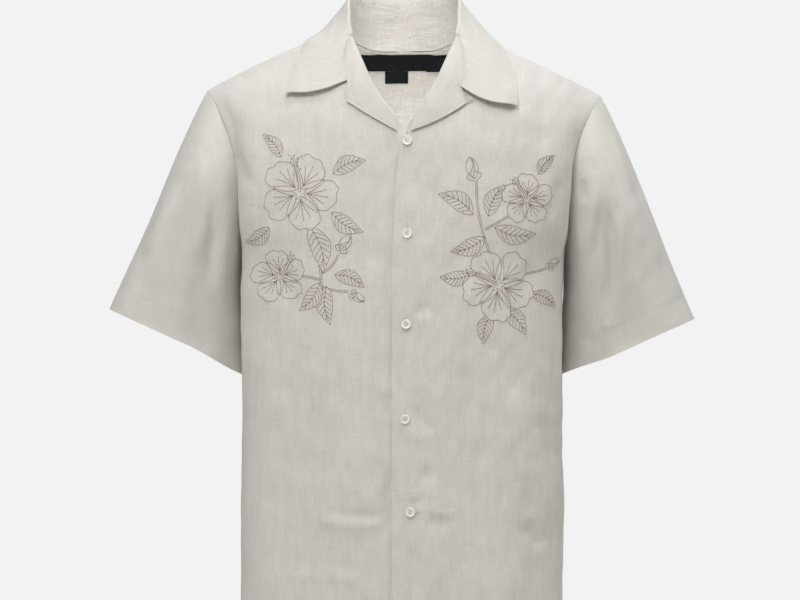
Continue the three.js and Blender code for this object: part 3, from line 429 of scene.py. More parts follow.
def body_at(side, s, v, whole=True):
    """A point of the cloth's outside and the way out of it: the plain surface, moved out by the lap
    and the folds, which die away at the side and shoulder seams. whole adds the small creases."""
    at, out = plain_body(s, v), plain_normal(s, v)
    s, v = np.broadcast_arrays(np.asarray(s, float), v)
    x, z = side * at[..., 0], at[..., 2]
    in_front = v < SHOULDER_ROW

    def folded(front, back):
        return np.where(in_front, fold_rise(front, x, z), fold_rise(back, x, z))

    if whole:
        small = folded(FRONT_FOLDS[LARGE_FRONT:], BACK_FOLDS[LARGE_BACK:])
        folds = folded(FRONT_FOLDS, BACK_FOLDS) + (CREASE_DEPTH - 1) * small + unevenness(x, z)
    else:
        folds = folded(FRONT_FOLDS[:LARGE_FRONT], BACK_FOLDS[:LARGE_BACK])
    calm = ease((1 - s) * SIDE_CALM) * ease(np.abs(v - SHOULDER_ROW) / SHOULDER_CALM)
    lap = np.where(in_front, side * LAP * ease(1 - np.abs(at[..., 0]) / LAP_REACH), 0)
    return flip(side, at + out * (lap + calm * folds)[..., None]), flip(side, out)


seed_v, seed_s = (a.ravel() for a in np.meshgrid(np.linspace(0, LAST_ROW, 101), np.linspace(0, 1, 21)))
seed_at = plain_body(seed_s, seed_v)


def body_place(x, z, back=False):
    """The s and v whose point is seen at this x and z from the front or the back: the nearest of
    some seeds, then six steps that follow the surface's own slopes to the place."""
    x, z = np.abs(np.asarray(x, float)), np.asarray(z, float)
    shown = (seed_v > SHOULDER_ROW) == back
    miss = (seed_at[shown, 0] - x.ravel()[:, None]) ** 2 + (seed_at[shown, 2] - z.ravel()[:, None]) ** 2
    nearest = miss.argmin(1)
    s, v = seed_s[shown][nearest].reshape(x.shape), seed_v[shown][nearest].reshape(x.shape)
    low, high = (SHOULDER_ROW, LAST_ROW - 0.01) if back else (0, SHOULDER_ROW - 0.01)
    d = 1e-3
    for _ in range(6):
        here = plain_body(s, v)
        ds, dv = plain_body(s + d, v) - here, plain_body(s, v + d) - here
        det = ds[..., 0] * dv[..., 2] - dv[..., 0] * ds[..., 2]
        mx, mz = x - here[..., 0], z - here[..., 2]
        s = s + np.clip((mx * dv[..., 2] - mz * dv[..., 0]) / det * d, -0.1, 0.1)
        v = v + np.clip((mz * ds[..., 0] - mx * ds[..., 2]) / det * d, -0.5, 0.5)
        v = np.clip(v, low, high)
    return s, v


def body_seen(x, z, back=False, whole=True):
    """The cloth's point and way out at this x and z, seen from the front or the back."""
    s, v = body_place(x, z, back)
    left = body_at(1, s, v, whole)
    right = body_at(-1, s, v, whole)
    on_left = (np.asarray(x) >= 0)[..., None]
    return np.where(on_left, left[0], right[0]), np.where(on_left, left[1], right[1])


def ways_out(grid, turn, round_it=False):
    """The way out at each point of a grid: the step to its neighbours across, crossed with the step up."""
    if round_it:
        across = np.roll(grid, -1, 1) - np.roll(grid, 1, 1)
    else:
        across = np.gradient(grid, axis=1)
    return unit(np.cross(across, np.gradient(grid, axis=0))) * turn


def run_lengths(grid, axis):
    """How far each point lies along its row or column, measured on the cloth."""
    step = np.linalg.norm(np.diff(grid, axis=axis), axis=-1)
    first = np.zeros_like(np.take(step, [0], axis))
    return np.concatenate([first, np.cumsum(step, axis)], axis)


# Uneven hang: how much higher the shoulders and cuffs are than in an even pair, left and right, and how
# much farther out the right side stands. Each sets in at a distance from the middle or a height, and
# is full after a run.
RAISED, CUFF_RAISED, SIDE_SPREAD = (5.5, 12), (-5.5, 6), 5
SHOULDER_FROM, SHOULDER_RUN = 78, 40
TOP_HEIGHT, TOP_RUN = 40, 45
CHEST_DEPTH, CHEST_RUN = -75, 60
ARM_HEIGHT, ARM_RUN = -260, 200
CUFF_FROM, SIDE_FROM, OUT_RUN = 195, 120, 60
SIDE_HEIGHT, SIDE_RUN = -190, 120


def as_it_hangs(points):
    """The points moved to the slightly uneven hang of the picture: the right shoulder is the higher one,
    the left cuff the lower one, and the right side stands out a little more."""
    x, y, z = np.moveaxis(points, -1, 0)
    right, away = x < 0, np.abs(x)
    shoulder = ease((away - SHOULDER_FROM) / SHOULDER_RUN) * ease((TOP_HEIGHT - z) / TOP_RUN)
    shoulder = shoulder * ease((y - CHEST_DEPTH) / CHEST_RUN)
    high = ease((z - ARM_HEIGHT) / ARM_RUN)
    raised = np.where(right, RAISED[1], RAISED[0]) * high
    cuff = np.where(right, CUFF_RAISED[1], CUFF_RAISED[0]) * ease((away - CUFF_FROM) / OUT_RUN) * (1 - high)
    outward = ease((away - SIDE_FROM) / OUT_RUN) * ease((SIDE_HEIGHT - z) / SIDE_RUN)
    outward = np.where(right, -SIDE_SPREAD, 0) * outward
    return points + np.stack([outward, 0 * y, shoulder * (raised + cuff)], -1)


def put_mesh(name, points, faces, grain, material):
    """A smooth mesh, in metres, from millimetre points, four-sided faces and a u and v per corner."""
    mesh = bpy.data.meshes.new(name)
    mesh.from_pydata(as_it_hangs(points) * 0.001, [], faces)
    layer = mesh.uv_layers.new(name="grain")
    layer.data.foreach_set("uv", (grain * 0.001).astype(np.float32).ravel())
    mesh.polygons.foreach_set("use_smooth", np.ones(len(faces), bool))
    mesh.materials.append(material)
    mesh.update()
    piece = placed(name, mesh)
    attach(piece, "root")
    return piece


def shell(grid, out, wall, grain=None, round_it=False, rimless_from=None):
    """A closed wall: a grid of points, the same grid moved in by the wall, and a rim that joins them.
    The grain is u and v, the lengths along the rows and the columns unless it is given. rimless_from
    leaves the first column without its rim from that row on. Gives points, faces and corner grain."""
    rows, columns = grid.shape[:2]
    wall = np.broadcast_to(np.asarray(wall, float), (rows, columns))
    points = np.concatenate([grid, grid - out * wall[..., None]]).reshape(-1, 3)
    closed = np.concatenate([grid, grid[:, :1]], 1) if round_it else grid
    if grain is None:
        grain = np.stack([run_lengths(closed, 1), run_lengths(closed, 0)], -1)
    wide = closed.shape[1]
    i, j = (a.ravel() for a in np.meshgrid(np.arange(rows - 1), np.arange(wide - 1), indexing="ij"))
    shown = np.stack([np.stack([i + a, j + b]) for a, b in ((0, 0), (0, 1), (1, 1), (1, 0))], -1)
    rims = []
    e = np.arange(wide - 1)
    for r, a, b in ((0, e + 1, e), (rows - 1, e, e + 1)):
        rims.append(np.stack([np.full((wide - 1, 4), r), np.stack([a, b, b, a], -1)]))
    if not round_it:
        first = np.arange(rows - 1 if rimless_from is None else rimless_from)
        last = np.arange(rows - 1)
        for c, a, b in ((0, first, first + 1), (wide - 1, last + 1, last)):
            rims.append(np.stack([np.stack([a, b, b, a], -1), np.full((len(a), 4), c)]))
    place = np.concatenate([shown, shown[:, :, ::-1], *rims], 1)
    depth = [np.zeros(shown.shape[1:], int), np.ones(shown.shape[1:], int)]
    depth += [np.tile([0, 0, 1, 1], (rim.shape[1], 1)) for rim in rims]
    faces = np.concatenate(depth) * rows * columns + place[0] * columns + place[1] % columns
    corners = grain[place[0], place[1]]
    middle = faces[len(shown[0]) // 2]
    facing = np.cross(points[middle[1]] - points[middle[0]], points[middle[3]] - points[middle[0]])
    if np.dot(facing, out.reshape(-1, 3)[middle[0]]) < 0:
        faces, corners = faces[:, ::-1], corners[:, ::-1]
    return points, faces, corners


def weld(piece, reach):
    """Joins the points of a piece that are within this reach of each other, in metres."""
    joint = bmesh.new()
    joint.from_mesh(piece.data)
    bmesh.ops.remove_doubles(joint, verts=joint.verts, dist=reach)
    joint.to_mesh(piece.data)
    joint.free()


def cloth(name, shells, material):
    """One piece of cloth from its shells, welded where they meet, with sharp cut edges."""
    counts = np.cumsum([0] + [len(points) for points, _, _ in shells])
    points = np.concatenate([points for points, _, _ in shells])
    faces = np.concatenate([faces + count for (_, faces, _), count in zip(shells, counts)])
    corners = np.concatenate([corners for _, _, corners in shells])
    piece = put_mesh(name, points, faces, corners.reshape(-1, 2), material)
    if len(shells) > 1:
        weld(piece, 2e-6)
    piece.data.set_sharp_from_angle(angle=np.radians(60))
    return piece


def face_inside(piece, material):
    """Gives this material to the faces of a piece that look towards the shirt's middle, which are
    those whose way out points back along their own x and y."""
    count = len(piece.data.polygons)
    ways, places = np.zeros(3 * count), np.zeros(3 * count)
    piece.data.polygons.foreach_get("normal", ways)
    piece.data.polygons.foreach_get("center", places)
    inward = (ways * places).reshape(-1, 3)[:, :2].sum(1) < 0
    piece.data.materials.append(material)
    piece.data.polygons.foreach_set("material_index", inward.astype(np.int32))


def rows_between(start, end, step):
    """Places between two levels, about one step of cloth apart."""
    places = [np.array([start], float)]
    for i in range(start, end):
        count = max(1, round((KNOTS[i + 1] - KNOTS[i]) / step))
        places.append(np.linspace(i, i + 1, count + 1)[1:])
    return np.concatenate(places)


# Fronts: two mirrored panels. Each runs past the centre line, straight below the neck opening, and
# folds back there as its own facing. The side and shoulder seams join them to the back.
FRONT_STEP, FRONT_COLUMNS = 3.6, 104
SEAM_SHARE, SEAM_ROW = 0.0012, 0.004  # what a seam leaves free, of a row and of the way to the next level
HEM_DEPTH = 24  # the hem's stitching above its edge
CHEST_REACH, CHEST_EASE = 8.5, 22  # reach past the centre line, and how far down it sets in
BELLY_REACH, BELLY_EASE = {1: 15, -1: 24}, 200


def flat_grain(side, grid):
    """u and v of a body panel laid flat: along each row the level run and the drop, on from where the
    row starts, which is its own x there and the run of the first column up the cloth."""
    step = np.diff(grid, axis=1)
    level = np.cumsum(np.hypot(step[..., 0], step[..., 1]), 1)
    drop = np.cumsum(step[..., 2], 1)
    rise = np.diff(grid[:, 0], axis=0)
    up = np.concatenate([[0], np.cumsum(np.hypot(rise[:, 1], rise[:, 2]))])[:, None]
    first = np.abs(grid[:, :1, 0]) * np.where(grid[:, :1, 0] * side < 0, -1, 1)
    u = np.concatenate([first, first + level], 1) * side
    return np.stack([u, np.concatenate([up, up + drop], 1)], -1)


def hemmed(height):
    """The wall at these heights above the hem's edge: thicker where the hem is turned in."""
    return np.where(height < HEM_DEPTH, HEM_WALL, CLOTH)[:, None]


front_grids = {}
for name, side in (("front_left", 1), ("front_right", -1)):
    v = rows_between(0, SHOULDER_ROW, FRONT_STEP)[:, None]
    row = through_rows(CONTROLS, KNOTS, v[:, 0])
    below = (NECK_EDGE_Z - row[:, 2])[:, None]
    past = CHEST_REACH * ease(below / CHEST_EASE)
    past = past + (BELLY_REACH[side] - CHEST_REACH) * ease(below / BELLY_EASE)
    start = np.where(v > V_ROW - 1, SEAM_SHARE, 0) - past / 3 / (row[:, 3] - row[:, 0])[:, None]
    s = start + (1 - SEAM_SHARE - start) * np.linspace(0, 1, FRONT_COLUMNS)
    grid, out = body_at(side, s, np.minimum(v, SHOULDER_ROW - SEAM_ROW))
    wall = hemmed(np.arange(len(v)) * FRONT_STEP)
    front = cloth(name + "_cloth", [shell(grid, out, wall, flat_grain(side, grid))], linen)
    front_grids[side] = (grid, out)
    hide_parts(name)

# Back: one panel from side seam to side seam, which reaches over the shoulders to their seams.
# It is hollowed for the neck at the top, so its two halves are welded along the centre line below.
BACK_STEP, BACK_COLUMNS = 4.4, 78
v = rows_between(SHOULDER_ROW, LAST_ROW, BACK_STEP)[:, None]
s = np.linspace(0, 1 - SEAM_SHARE, BACK_COLUMNS)
wall = hemmed(np.arange(len(v))[::-1] * BACK_STEP)
neck_rows = int(np.argmax(v[:, 0] >= BACK_NECK_ROW))
halves, back_grids = [], []
for side in (1, -1):
    grid, out = body_at(side, s, np.maximum(v, SHOULDER_ROW + SEAM_ROW))
    grid[neck_rows:, 0, 0] = 0
    out[neck_rows:, 0] = unit(out[neck_rows:, 0] * np.array([0, 1, 1]))
    halves.append(shell(grid, out, wall, flat_grain(side, grid), rimless_from=neck_rows))
    back_grids.append((grid, out))
back = cloth("back_cloth", halves, linen)
face_inside(back, inside_linen)
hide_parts("back")

# Sleeves: each is one piece sewn into a tube and set into the armhole, with a deep turned hem.
# They hang away from the body as if arms filled them.
CUFF_OUT, CUFF_IN = np.array([349.0, 14, -317]), np.array([187.0, 34, -390])
CUFF_DEPTH, CUFF_PULL = 50, 70
SLEEVE_HEM, GROOVE_DEPTH, GROOVE_WIDTH = 30, 0.35, 1.6  # the hem's stitching pulls a groove
SLEEVE_COLUMNS, SLEEVE_ROWS = 132, 92
SEAM_SEEN = 0.08  # the armhole's seam is pulled flush
SMALL_WAVES, BEHIND_SHARE = 0.7, 0.8  # of the body's unevenness, and of the other sleeve's creases
# v round the armhole, leave x y z, pull, turn round the cuff from beside the body over the front
SLEEVE = np.array([
    (5, 0.1, 0, -1, 40, 0),
    (6, 0.35, -0.3, -0.9, 40, 40),
    (7, 0.6, -0.55, -0.6, 46, 72),
    (8, 0.72, -0.5, -0.5, 60, 106),
    (9, 0.7, -0.3, -0.65, 74, 136),
    (10, 0.6, -0.12, -0.8, 84, 154),
    (13, 0.48, 0, -0.88, 90, 180),
    (15, 0.58, 0.15, -0.82, 84, 204),
    (16, 0.7, 0.3, -0.65, 74, 226),
    (17, 0.72, 0.5, -0.5, 60, 256),
    (18, 0.62, 0.55, -0.6, 46, 286),
    (19, 0.35, 0.35, -0.9, 40, 322),
    (20, 0.1, 0, -1, 40, 360),
], float)
# side, turn, from and to down the sleeve, width, rise
SLEEVE_FOLDS = np.array([
    (1, 92, 0.25, 1.1, 13, -6),
    (1, 128, 0.2, 1.1, 15, 3),
    (1, 60, 0.1, 1, 14, 3),
    (1, 262, 0.15, 1.1, 14, -5),
    (1, 226, 0.3, 1.1, 12, 2.5),
    (-1, 76, 0.2, 1.1, 14, -4),
    (-1, 112, 0.3, 1.1, 16, -3),
    (-1, 140, 0.2, 1.1, 14, 3),
    (-1, 270, 0.1, 1.1, 15, -5),
    (-1, 238, 0.3, 1.1, 12, 2.5),
], float)
SLEEVE_CREASES = {
    1: np.array([
        (258, -180, 258, -330, 0, 6, 4),
        (247, -170, 246, -320, 0, 7, -4.4),
        (228, -160, 212, -262, -4, 9, 3),
        (238, -176, 226, -260, 0, 6, -2.6),
        (262, -96, 288, -190, -3, 7, -2.6),
        (244, -88, 274, -176, 0, 6, 2),
        (213, -154, 218, -186, 3, 6, -2.6),
        (222, -128, 230, -150, 2, 7, -1.8),
        (286, -210, 300, -300, 3, 9, -2.4),
        (214, -336, 232, -356, 0, 9, -2.2),
        (236, -322, 252, -330, 0, 5, 1.8),
    ], float),
    -1: np.array([
        (-231, -78, -216, -140, 3, 6, -2.6),
        (-222, -120, -206, -184, 3, 7, 2.2),
        (-246, -110, -240, -262, -4, 8, 2.6),
        (-232, -170, -226, -300, 0, 7, -2.8),
        (-262, -140, -266, -330, 5, 9, -2.6),
        (-284, -170, -296, -318, 3, 10, 2),
        (-212, -190, -210, -330, 3, 8, 2),
        (-306, -230, -322, -306, -3, 9, -1.6),
    ], float),
}


def sleeve_columns(at):
    """For places round the armhole, counted in rows of SLEEVE: the turn on the cuff, the curve from
    seam to cuff, the body's way out there, and whether the sleeve leaves it as a valley."""
    v = np.interp(at, np.arange(len(SLEEVE)), SLEEVE[:, 0])
    rows = np.hstack([unit(SLEEVE[:, 1:4]), SLEEVE[:, 4:]])
    numbers = through_rows(rows, KNOTS[SLEEVE[:, 0].astype(int)], at)
    leave, pull, turn = unit(numbers[:, :3]), numbers[:, 3:4], numbers[:, 4]
    body_out = plain_normal(np.ones(len(v)), v)
    valley = ((leave * body_out).sum(-1) > 0)[:, None]
    gap = np.where(valley, 1.3 * SEAM, SEAM_SEEN)
    start = plain_body(1, v) + unit(leave + body_out * valley) * gap
    middle, wide = (CUFF_OUT + CUFF_IN) / 2, (CUFF_OUT - CUFF_IN) / 2
    down = unit(np.cross([0, 1, 0], wide))
    outward = (1 - np.cos(np.radians(turn)))[:, None] / 2
    depth = CUFF_DEPTH * np.sin(np.radians(turn))[:, None]
    end = middle + wide * (2 * outward - 1) - depth * np.array([0, 1, 0])
    arrive = unit(np.array([0, 0, -1]) + (down - np.array([0, 0, -1])) * outward)
    controls = np.hstack([start, start + leave * pull, end - arrive * CUFF_PULL, end])
    return turn, controls, body_out, valley


armhole_v = np.linspace(PIT_FRONT, PIT_BACK, 601)
armhole = run_lengths(plain_body(1, armhole_v)[None], 1)[0]
evenly = np.interp(np.linspace(0, armhole[-1], SLEEVE_COLUMNS + 1)[:-1], armhole, armhole_v)
columns_at = np.interp(evenly, SLEEVE[:, 0], np.arange(len(SLEEVE)))
turn, controls, body_out, valley = sleeve_columns(columns_at)
t = np.linspace(0, 1, SLEEVE_ROWS)[:, None]
plain = bezier(controls[None], t)
plain_out = ways_out(plain, -1, True)
plain_out[0] = np.where(valley, plain_out[0], body_out)
MIRRORED = np.array([-1, 1, -1, 1, -1, 1, 1])  # a crease row of one side, on the other


def sleeve_rise(side):
    """How far the folds and creases of one sleeve lift it off its plain form. The back of it has the
    creases of the other sleeve's front."""
    rise = np.zeros(plain.shape[:2])
    for which, at_turn, start, stop, width, height in SLEEVE_FOLDS:
        along = (t - start) / (stop - start)
        fade = ease(along * 3) * ease((1 - along) * 6)
        rise += (which == side) * height * fade * np.exp(-(((turn - at_turn) / width) ** 2))
    seen_x, seen_z = side * plain[..., 0], plain[..., 2]
    shown = fold_rise(SLEEVE_CREASES[side], seen_x, seen_z) + SMALL_WAVES * unevenness(seen_x, seen_z)
    behind = fold_rise(SLEEVE_CREASES[-side] * MIRRORED, seen_x, seen_z)
    behind = BEHIND_SHARE * behind + SMALL_WAVES * unevenness(seen_z, seen_x)
    fade = ease(t * 5) * ease(np.abs(turn - 180) / 30) * ease(np.minimum(turn, 360 - turn) / 30)
    return rise + np.where(turn < 180, shown, behind) * fade


sleeve_grids = {}
for name, side in (("sleeve_left", 1), ("sleeve_right", -1)):
    grid = flip(side, plain + plain_out * sleeve_rise(side)[..., None])
    out = flip(side, plain_out)
    depth = run_lengths(grid, 0)
    above_hem = depth[-1] - depth - SLEEVE_HEM
    wall = np.where(depth[-1] - depth < SLEEVE_HEM, HEM_WALL, CLOTH)
    grid = grid - out * (GROOVE_DEPTH * np.exp(-((above_hem / GROOVE_WIDTH) ** 2)))[..., None]
    round_cuff = run_lengths(np.concatenate([grid[-1:], grid[-1:, :1]], 1), 1)
    down_sleeve = np.concatenate([depth, depth[:, :1]], 1)
    grain = np.stack([np.broadcast_to(round_cuff, down_sleeve.shape), down_sleeve], -1)
    sleeve = cloth(name + "_cloth", [shell(grid, out, wall, grain, round_it=True)], sleeve_linen)
    sleeve_grids[side] = (grid, ways_out(grid, -side, True))
    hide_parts(name)

# Lapels: the upper ends of the fronts' facings. Each starts behind the front's edge, rolls over it
# and lies open on the chest, and its free edge stands a little off the front.
ROLL_FROM, ROLL_TO = 2.4, 3.8  # radius of the roll, at the bottom and at the collar
BEHIND, LAPEL_GAP, EDGE_LIFT = 1.3, 0.5, 3.4
LAPEL_START, LAPEL_TIP = 0.11, 0.62  # shares of the way up from the neck opening to the collar
LAPEL_FOOT = np.array([8, NECK_EDGE_Z + 1.0])
INSIDE_NOTCH = np.array([-27, -8])  # from the notch to where the rows bend inside it
# middle of the lower edge, tip and notch, each as x and z seen from the front
LAPEL = {1: ((41, -89), (73.5, -66.5), (67, -46)), -1: ((34, -85.5), (67.5, -64.5), (67, -40))}
# The collar and lapels are the same linen as the body. Their mean tone is lowered as painted shade, so that
# their upturned faces are not lit brighter than the shoulders.
SHADED_TOP_LINEN = linen_material("linen of collar and lapels in painted shade", turned=False, contrast=0.22, middle=0.36)


def between(a, b, share):
    """The points that lie this share of the way from a to b."""
    return a + (b - a) * share


def two_runs(ends, counts):
    """Even places from the first end to the second and on to the third, this many points in each."""
    first = np.linspace(ends[0], ends[1], counts[0])
    return np.concatenate([first, np.linspace(ends[1], ends[2], counts[1])[1:]])


def lapel_edge(side, u):
    """The free edge in x and z: a parabola up to the tip, and then straight to the notch."""
    middle, tip, notch = (np.array(p, float) for p in LAPEL[side])
    t = (u - LAPEL_START) / (LAPEL_TIP - LAPEL_START)
    low = between(between(LAPEL_FOOT, middle, t), between(middle, tip, t), t)
    return np.where(u > LAPEL_TIP, between(tip, notch, (u - LAPEL_TIP) / (1 - LAPEL_TIP)), low)


def lapel_at(side, u, w):
    """The shown face: w goes from behind the front's edge round the roll, a half circle, to 0.5, and
    then over the front to the free edge at 1. Above the tip the rows bend to pass inside the notch."""
    u, w = (a[..., None] for a in np.broadcast_arrays(u, w))
    v = V_ROW + u[..., 0] * (GORGE_ROW - V_ROW)
    edge, out = body_at(side, 0 * v, v)
    up = unit(body_at(side, 0 * v, v + 0.02)[0] - edge)
    to_opening = np.cross(out, up) * side
    roll = ROLL_FROM + (ROLL_TO - ROLL_FROM) * ease((u - LAPEL_START) * 2)
    angle = np.pi * np.minimum(1, 2 * w)
    start = edge - out * BEHIND + to_opening * LAPEL_GAP
    rounded = start + to_opening * roll * np.sin(angle) + out * roll * (1 - np.cos(angle))
    t = np.maximum(0, 2 * w - 1)
    begin = edge[..., [0, 2]] * np.array([side, 1])
    end = lapel_edge(side, u)
    past = (1 - u) / (1 - LAPEL_TIP)
    inside = np.array(LAPEL[side][2]) + INSIDE_NOTCH * past
    bend = between(inside, between(begin, end, 0.5), past)
    curved = between(between(begin, bend, t), between(bend, end, t), t)
    path = np.where(u <= LAPEL_TIP, between(begin, end, t), curved)
    under, under_out = body_seen(side * path[..., 0], path[..., 1])
    rolled = 2 * roll - BEHIND
    lying = under + under_out * (rolled + (EDGE_LIFT - rolled) * ease(t))
    return np.where(w <= 0.5, rounded, between(rounded, lying, ease(t * 4)))


lapel_grids = {}
for name, side in (("lapel_left", 1), ("lapel_right", -1)):
    u = two_runs((LAPEL_START, LAPEL_TIP, 1), (32, 22))
    grid = lapel_at(side, u[:, None], two_runs((0, 0.5, 1), (15, 40)))
    out = ways_out(grid, side)
    lapel = cloth(name + "_cloth", [shell(grid, out, FACED_WALL)], SHADED_TOP_LINEN)
    lapel_grids[side] = (grid, out)
    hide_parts(name)

# Collar: two layers of linen with an interlining between them, sewn to the neckline and to the
# lapels. It stands up behind the neck, rolls over and falls to its points on the chest.
COLLAR_GAP, COLLAR_ROLL, ROLL_LENGTH, LEAF_BULGE, LEAF_LIFT = 0.15, 7, 6, 5, 3.6
POINT_BOW, POINT_LIFT, POINT_REACH = 5.5, 8, 26  # the points' lower edges hang and stand off the chest
STAND_FOOT, FOOT_DIP, FOOT_INSIDE, FOOT_RUN, STAND_BEND = 1.1, 0.4, 1.6, 0.62, 0.6
ROLL_PLACE = 1.3
NECK_STEP, DOWN_POINTS = 11, 21  # along the neckline, and points down each column
ON_FRONT, CHEST_TOP = 1.8, 12  # the places and the heights where the leaf lies on a front
SMOOTHINGS, SMOOTH_RUN = 6, 30
COLLAR_POINTS = (210, 72)
# place (0 notch, 1 top of the gorge, 2 shoulder, 3 centre back), leaf edge, crest, facing
COLLAR = np.array([
    (0, 132, -90, -71, 67, -100, -42, -40),
    (0.55, 133, -68, -40, 65, -80, -14, -40),
    (1.15, 127, -48, -20, 63.5, -52, 14, -35),
    (1.35, 124, -38, -12, 64, -44, 26, -24),
    (1.65, 120, -24, -3, 66.5, -28, 46, -10),
    (2, 114, -2, 6, 67, -5, 59, 3),
    (2.35, 104, 42, 6, 61, 36, 65, 24),
    (2.7, 66, 79, -3, 38, 68, 65, 60),
    (3, 0, 91, -10, 0, 82, 63, 90),
    (3.3, -66, 79, -3, -38, 68, 65, 120),
], float)
RIGHT_LEAF_TIP = (140, -80, -55)


def collar_row(side, at):
    """The leaf's edge, the crest of the roll and the way that it faces, at places along the collar."""
    rows = COLLAR.copy()
    if side < 0:
        rows[0, 1:4] = RIGHT_LEAF_TIP
    knots = rows[:, 0]
    i = np.clip(np.searchsorted(knots, at, "right") - 1, 0, len(knots) - 2)
    n = through_rows(rows[:, 1:], knots, i + (at - knots[i]) / (knots[i + 1] - knots[i]))
    facing = np.radians(n[:, 6])
    facing = np.stack([np.cos(facing), np.sin(facing), 0 * facing], -1)
    return flip(side, n[:, :3]), flip(side, n[:, 3:6]), flip(side, facing)


def collar_seam(side):
    """Where one side of the collar is sewn on, from the notch up the gorge and along the neckline: each
    column's place, its point, whether that is on the lapel's roll, and if so the way off the lapel."""
    w = two_runs((0, 0.5, 1), (5, 6))
    lapel = lapel_at(side, two_runs((LAPEL_START, LAPEL_TIP, 1), (8, 6))[:, None], w)
    gorge, gorge_out = lapel[-1], ways_out(lapel, side)[-1]
    gorge_away = unit(np.cross(gorge_out, np.gradient(gorge, axis=0))) * side
    gorge_at = np.where(w > 0.5, 2 - 2 * w, 1 + (ROLL_PLACE - 1) * (1 - 2 * w))
    v = rows_between(GORGE_ROW, BACK_NECK_ROW, NECK_STEP)[1:]
    edge, edge_out = body_at(side, 0 * v, np.where(v == SHOULDER_ROW, v + SEAM_ROW, v))
    near = (1 - ease((v - GORGE_ROW) / FOOT_RUN))[:, None]
    behind = 2 + (v - SHOULDER_ROW) / (BACK_NECK_ROW - SHOULDER_ROW)
    neck_at = np.where(v < SHOULDER_ROW, ROLL_PLACE + (2 - ROLL_PLACE) * (v - GORGE_ROW), behind)
    foot = edge + edge_out * (STAND_FOOT - near * FOOT_DIP)
    foot = foot - collar_row(side, neck_at)[2] * near * FOOT_INSIDE
    at = np.concatenate([gorge_at[::-1], neck_at])
    seam = np.concatenate([(gorge + gorge_away * COLLAR_GAP)[::-1], foot])
    on_roll = np.concatenate([w[::-1] >= 0.25, np.zeros(len(v), bool)])[:, None]
    return at, seam, on_roll, np.concatenate([gorge_away[::-1], 0 * foot])


def laid_on_chest(grid, at, fallen):
    """The leaf raised where it would sink into a front, and then evened out along the collar. fallen
    is how far down the leaf each point is."""
    on_front = (at[:, None] < ON_FRONT) & (fallen > 0) & (grid[..., 2] < CHEST_TOP)
    under, under_out = body_seen(grid[on_front][:, 0], grid[on_front][:, 2])
    clear = ((grid[on_front] - under) * under_out).sum(-1, keepdims=True)
    lifted = LEAF_LIFT + np.maximum(0, clear) ** 2 / (4 * LEAF_LIFT)
    grid[on_front] += under_out * np.where(clear > 2 * LEAF_LIFT, 0, lifted - clear)
    leaf = ease(fallen / SMOOTH_RUN)[..., None]
    for _ in range(SMOOTHINGS):
        level = (grid[:-2] + grid[2:]) / 2
        grid[1:-1] += 0.5 * leaf[1:-1] * (level - grid[1:-1])
    return grid


def hung_point(grid, share):
    """The collar with its point standing off the chest and the edge beside it hanging in a bow. share
    is how much of the leaf is above each point."""
    near_end = np.exp(-((run_lengths(grid, 0) / POINT_REACH) ** 2))
    hang = POINT_BOW * near_end * np.sin(np.pi * share**1.4) ** 2
    stand_off = POINT_LIFT * near_end * ease(share * 1.3) * (1 - 0.5 * ease((share - 0.85) / 0.15))
    return grid + np.stack([0 * hang, -stand_off, -hang], -1)


def collar_half(side):
    """The collar's columns on one side. Each is a curve up the stand and a curve over the roll and
    down the leaf, joined end to end."""
    at, seam, on_roll, off_lapel = collar_seam(side)
    edge, crest, facing = collar_row(side, at)
    away = np.where(on_roll, off_lapel, facing)
    top = np.where(on_roll, seam, crest)
    height = np.linalg.norm(top - seam, axis=-1, keepdims=True)
    reach = np.minimum(COLLAR_ROLL, STAND_BEND * height)
    stand = np.hstack([seam, between(seam, top, STAND_BEND), top - away * reach, top])
    bulge = between(top, edge, 0.5) + facing * LEAF_BULGE
    fall = np.hstack([top, top + away * COLLAR_ROLL, bulge, edge])
    fall_length = np.linalg.norm(edge - top, axis=-1, keepdims=True) + ROLL_LENGTH
    along = np.linspace(0, 1, DOWN_POINTS) * (height + fall_length)
    fallen = along - height
    up_stand = bezier(stand[:, None], along / np.maximum(height, 1e-6))
    down_leaf = bezier(fall[:, None], fallen / fall_length)
    grid = np.where((fallen < 0)[..., None], up_stand, down_leaf)
    return hung_point(laid_on_chest(grid, at, fallen), np.clip(fallen / fall_length, 0, 1))


def finer(grid, counts):
    """The same surface with more points: smooth curves through its rows, and then its columns."""
    for count in counts:
        flat = grid.reshape(len(grid), -1)
        steps = np.linalg.norm(np.diff(grid, axis=0), axis=-1).mean(1)
        knots = np.concatenate([[0], np.cumsum(steps)])
        at = np.interp(np.linspace(0, knots[-1], count), knots, np.arange(len(grid)))
        grid = through_rows(flat, knots, at).reshape(count, *grid.shape[1:]).swapaxes(0, 1)
    return grid


collar_grid = finer(np.concatenate([collar_half(1), collar_half(-1)[-2::-1]]), COLLAR_POINTS)
collar_out = ways_out(collar_grid, 1)
lengths = np.stack([run_lengths(collar_grid, 0), run_lengths(collar_grid, 1)], -1)
collar = cloth("collar_cloth", [shell(collar_grid, collar_out, FACED_WALL, lengths)], SHADED_TOP_LINEN)
face_inside(collar, inside_linen)
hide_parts("collar")

